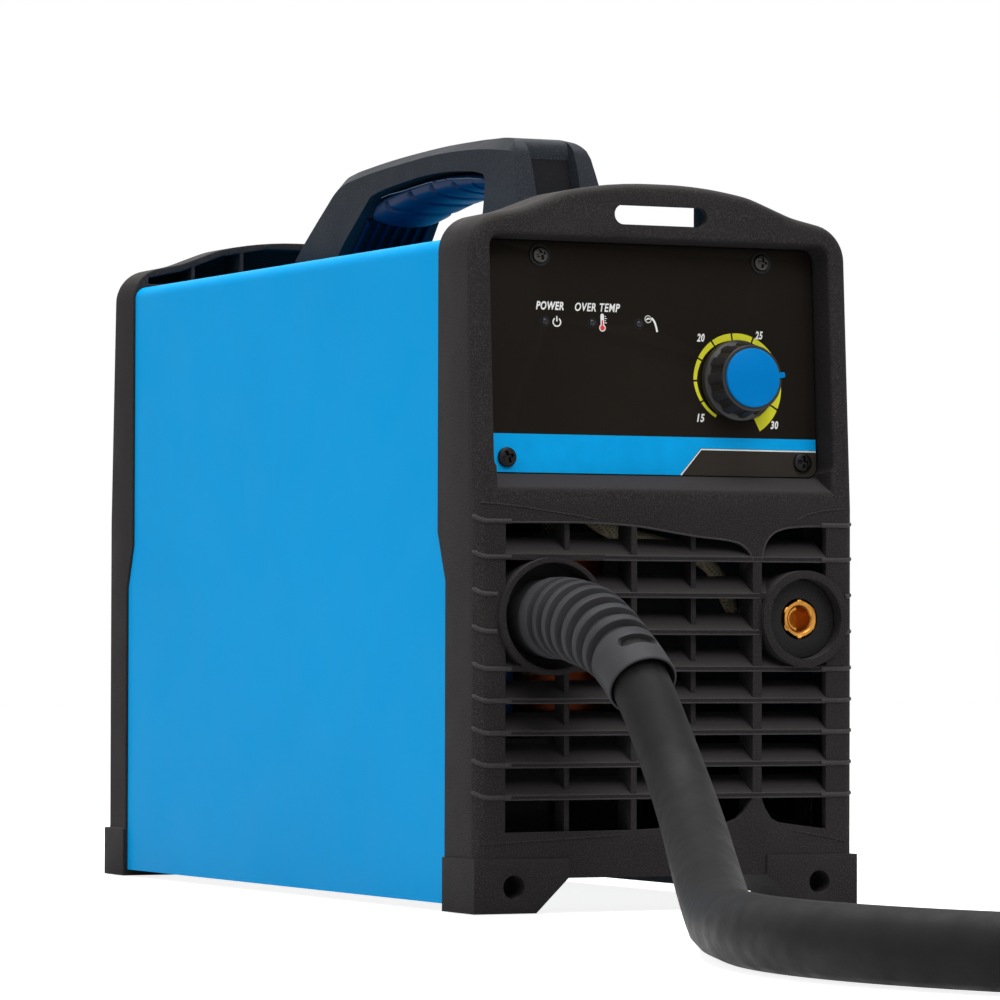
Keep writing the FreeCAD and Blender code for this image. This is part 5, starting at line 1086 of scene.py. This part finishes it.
def make_handle():
    top, edge, under = (smooth_line([(0, *p) for p in line], 4) for line in (TOP_LINE, EDGE_LINE, UNDER_LINE))
    drop = smooth_values(CHANNEL_DROP)
    rings = []
    for o, e, u, half, low in zip(top, edge, under, smooth_values(FLAT_HALF), drop):
        floor = o + Vector((0, low, 0)) if low > LEAST_CHANNEL else o
        he, hu = handle_half(e.z), handle_half(u.z)
        half = min(half, he - LEAST_BEVEL)
        channel = min(CHANNEL_HALF, half - LEAST_LEDGE)
        right = [(channel, floor), (channel, o), (half, o), (he, e), (hu, u)]
        left = [(-x, p) for x, p in reversed(right)]
        rings.append([Vector((x, p.y, p.z)) for x, p in right + left])
    handle = Shape().skin(rings).piece("handle_moulding", UNIT, HANDLE, round_off=1.1, smooth=24, segments=3)
    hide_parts("handle_shell")
    # A near-black plate on the floor of the front post's channel: painted shade in the recess.
    section = ((-SHADE_PLATE_HALF, 0), (SHADE_PLATE_HALF, 0), (SHADE_PLATE_HALF, SHADE_PLATE_THICK), (-SHADE_PLATE_HALF, SHADE_PLATE_THICK))
    spots = [o + Vector((0, d - SHADE_PLATE_LIFT, 0)) for o, d in zip(top[:SHADE_PLATE_RINGS], drop)]
    shade_plate = Shape().skin([[Vector((x, p.y + back, p.z)) for x, back in section] for p in spots])
    shade_plate.piece("channel_shade_plate", UNIT, CHANNEL_SHADE)


GRIP_LOW = [(122.6, 274.6), (150, 275), (180, 274.2), (195, 273), (205, 271.7), (215, 270.1),
            (224, 268.5), (232, 267.8), (238, 268.6), (242, 270.6)]
GRIP_TOP_GAP, GRIP_HALF, GRIP_STEPS = 0.3, 14.6, 120
GRIP_START, GRIP_END, GRIP_STEP, GRIP_NOSE_START, GRIP_NOSE = 122.9, 241, 0.55, 234, 7.6
FINGER_LINES = [smooth_line([(*p, 0) for p in marks], 8) for marks in (
    [(224.4, 277.4), (221.6, 274.4), (213, 272.2), (200, 270.4)],
    [(201.5, 279.6), (195.3, 275.3), (178, 271.9)], [(180.1, 280), (176, 276.6), (165.9, 273.7)],
    [(159, 279.3), (151.1, 275.3), (138, 273.2)], [(140.3, 277.4), (136.4, 275.1), (130.5, 273.8)],
    [(194.3, 271.6), (186.1, 270.3), (177, 269.7)])]
MARK_WIDE, MARK_DEEP, MARK_SAG = 0.85, 1.6, 0.35
# The grip's upper half is squarer than an ellipse by this power. Its nose narrows by this share.
GRIP_POWER, NOSE_NARROW = 0.62, 0.3
SEAM_DROP, SEAM_RISE, SEAM_RISE_FROM, SEAM_RISE_OVER = 2.3, 1.4, 205, 30


def height_on(line, y):
    for (ya, za), (yb, zb) in zip(line, line[1:]):
        if ya <= y <= yb:
            return za + (zb - za) * (y - ya) / (yb - ya)
    return line[-1][1]


def grip_top(y):
    return height_on(UNDER_LINE[3:], y) - GRIP_TOP_GAP


def mark_depth(y, z):
    """The share of their depth that the moulded finger marks have at a place on the grip's side."""
    near = min((y - p.x) ** 2 + (z - p.y) ** 2 for line in FINGER_LINES for p in line)
    return exp(-near / MARK_WIDE ** 2)


def make_grip():
    low = [(v.x, v.y) for v in smooth_line([(*p, 0) for p in GRIP_LOW], 6)]
    rings, y = [], GRIP_START
    while y <= GRIP_END:
        top, bottom = grip_top(y), height_on(low, y)
        end = sqrt(max(0, 1 - ((y - GRIP_NOSE_START) / GRIP_NOSE) ** 2)) if y > GRIP_NOSE_START else 1
        middle, half = (top + bottom) / 2, (top - bottom) / 2
        points = []
        for a in around(GRIP_STEPS):
            c, s = cos(a), sin(a)
            power = GRIP_POWER if s > 0 else 1
            x = GRIP_HALF * (1 - NOSE_NARROW + NOSE_NARROW * end) * copysign(abs(c) ** power, c)
            z = middle + half * copysign(abs(s) ** power, s)
            deep = MARK_DEEP * mark_depth(y, z) if s < 0.6 else 0
            points.append((x * (1 - deep / GRIP_HALF), y, z + deep * MARK_SAG * max(0, -s)))
        rings.append(points)
        y += GRIP_STEP
    grip = Shape().skin(rings).piece("handle_grip_moulding", UNIT, GRIP, smooth=50)
    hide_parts("handle_grip")
    seam = Shape()
    for side in (-1, 1):
        spots = []
        for y in range(125, 232, 4):
            up = grip_top(y) - SEAM_DROP + SEAM_RISE * max(0, (y - SEAM_RISE_FROM) / SEAM_RISE_OVER)
            spots.append(Vector((side * (GRIP_HALF - 0.25), y, up)))
        rod(seam, smooth_line(spots, 2), 0.15, 8)
    seam.piece("grip_seam", UNIT, SEAM, smooth=60)


LEG_TOP, LEG_FOOT = Vector((0, 243.5, 271.8)), Vector((0, 272, 248.4))
LEG_RIBS, LEG_RIB_HALF = (-13.6, -9.1, -4.6, 0, 4.6, 9.1, 13.6), 0.5
LEG_RIB_PROUD, LEG_BACKING_HALF, LEG_BACKING_PROUD = 2.4, 14.8, 0.25


def leg_plates(spans, deep, proud):
    """Plates along the leg's front, each over a span of X."""
    outward = -Vector((0, LEG_TOP.z - LEG_FOOT.z, LEG_FOOT.y - LEG_TOP.y)).normalized()
    corners = (LEG_TOP + outward * deep, LEG_FOOT + outward * deep, LEG_FOOT + outward * proud,
               LEG_TOP + outward * proud)
    shape = Shape()
    for span in spans:
        shape.skin([[Vector((x, p.y, p.z)) for p in corners] for x in span])
    return shape


def make_leg_ribs():
    """Ribs down the front of the handle's rear leg, under the grip's end."""
    backing = leg_plates([(-LEG_BACKING_HALF, LEG_BACKING_HALF)], 0, LEG_BACKING_PROUD)
    backing.piece("leg_backing", UNIT, BLACK_PLASTIC)
    ribs = leg_plates([(x - LEG_RIB_HALF, x + LEG_RIB_HALF) for x in LEG_RIBS], -0.1, LEG_RIB_PROUD)
    ribs.piece("leg_ribs", UNIT, LEG_NAVY, round_off=0.2)


# Rear: the guard's loops, the screws and the switch's marks


BEHIND = Matrix(((-1, 0, 0), (0, 0, 1), (0, 1, 0)))
FAN_SCREWS, LOOP, WIRE, LOOP_STEPS, SPOKE_START = 41.25, 4.3, 0.9, 32, 0.745
ON_MARK, OFF_MARK = rounded_box((-0.45, -2.2), (0.45, 2.2), 0.2), band(arc((0, 0), 1.9, 0, 360, 40), 0.8)
SUNK, PROUD = -0.05, 0.06
PANEL_SCREWS = [(x, z) for x in (-60, 60) for z in (37, 233)]


def make_rear():
    guard_low, guard_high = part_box("fan_guard")
    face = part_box("rear_panel")[1].y
    rear = Matrix.Translation((0, face, 0)) @ BEHIND.to_4x4() @ Matrix.Scale(MM, 4)
    middle = Vector((-(guard_low.x + guard_high.x) / 2, (guard_low.z + guard_high.z) / 2, 0)) / MM
    rings_out = (guard_high.y - face) / MM - 1
    turns = [2 * pi * i / LOOP_STEPS for i in range(LOOP_STEPS + 1)]
    loops, spots = Shape(), []
    for across in (-1, 1):
        for up in (-1, 1):
            way = Vector((across, up, 0))
            screw = middle + way * FAN_SCREWS
            spots.append((screw.x, screw.y))
            inner = middle + way * (FAN_SCREWS * SPOKE_START)
            outer = way * (FAN_SCREWS - LOOP / sqrt(2)) + middle
            rod(loops, [inner + Vector((0, 0, rings_out)), outer + Vector((0, 0, WIRE))], WIRE)
            rod(loops, [screw + Vector((LOOP * cos(a), LOOP * sin(a), WIRE)) for a in turns], WIRE)
    loops.piece("guard_loops", rear, STEEL, smooth=60)
    make_screws("fan_screws", spots, rear, 3.2, 2, DARK_STEEL)
    make_screws("rear_panel_screws", PANEL_SCREWS, rear, 3.2, 1.8, DARK_STEEL)


def make_switch_marks():
    """A line and a ring on the rocker's two ends, laid on its surface."""
    rocker = NODES["power_rocker"]
    bpy.context.view_layer.update()
    tree = BVHTree.FromPolygons([rocker.matrix_world @ v.co for v in rocker.data.vertices],
                                [p.vertices for p in rocker.data.polygons])
    low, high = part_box("power_rocker")
    for outline, name, share in ((ON_MARK, "rocker_on_mark", 0.78), (OFF_MARK, "rocker_off_mark", 0.22)):
        start = Vector(((low.x + high.x) / 2, high.y + 0.01, low.z + (high.z - low.z) * share))
        spot, out, _, _ = tree.ray_cast(start, Vector((0, -1, 0)))
        above = (Vector((0, 0, 1)) - out * out.z).normalized()
        across = above.cross(out)
        turn = Matrix((across, above, out)).transposed()
        mark = Shape().prism(outline, SUNK, PROUD)
        mark.piece(name, frame_at(spot, turn), WHITE_INK, "rocker", smooth=30)


# Each row holds a material, how far edges are rounded, and the carried-over nodes that it dresses.
DRESSED = (
    (BEZEL, 0.5, "rear_bezel"), (COVER, 0, "cover"), (ZINC, 0, "base_pan"),
    (PANEL_FILM, 0.2, "control_panel"), (BOARD, 0, "control_board main_board"),
    (STEEL, 0, "handle_screws fan_guard trigger_pin"),
    (ALUMINIUM, 0, "potentiometer potentiometer_shaft air_regulator"),
    (BRASS, 0, "socket_nut gland_nut board_spacers"), (BRASS, 0.4, "air_inlet"),
    (BLACK_PLASTIC, 0, "torch_gland inductor_bobbin solenoid_valve"),
    (BLACK_PLASTIC, 0.3, "socket_insulator mains_gland power_switch_housing"),
    (BLACK_PLASTIC, 0.5, "capacitor_1 capacitor_2 capacitor_3"), (FERRITE, 0, "transformer_core"),
    (SINK_BLACK, 0, "heat_sink_left heat_sink_right"), (COPPER, 1, "transformer_coil"),
    (COPPER, 0, "inductor_winding"), (BACK_PAINT, 0, "rear_panel"), (ROCKER_RED, 0.4, "power_rocker"),
    (FAN_BLACK, 0, "fan_frame fan_rotor"), (HOSE_BLUE, 0, "valve_hose air_hose"),
    (SLEEVE, 0, "socket_lead torch_power_lead"), (TRIGGER, 0.5, "torch_trigger"),
    (TORCH_PLASTIC, 0, "torch_handle_upper torch_handle_lower torch_head"), (CERAMIC, 0.5, "shield_cup"),
    (TIP, 0.2, "cutting_tip"))


def dress_nodes():
    for material, round_off, nodes in DRESSED:
        for node in nodes.split():
            dress(node, material, round_off)


make_studio()
make_lead()
dress_nodes()
make_bezel()
make_bezel_lines()
make_dial()
make_stripe()
make_icons()
make_panel_screws()
make_knob()
make_lamps()
make_socket()
make_handle()
make_grip()
make_leg_ribs()
make_torch_details()
make_rear()
make_switch_marks()
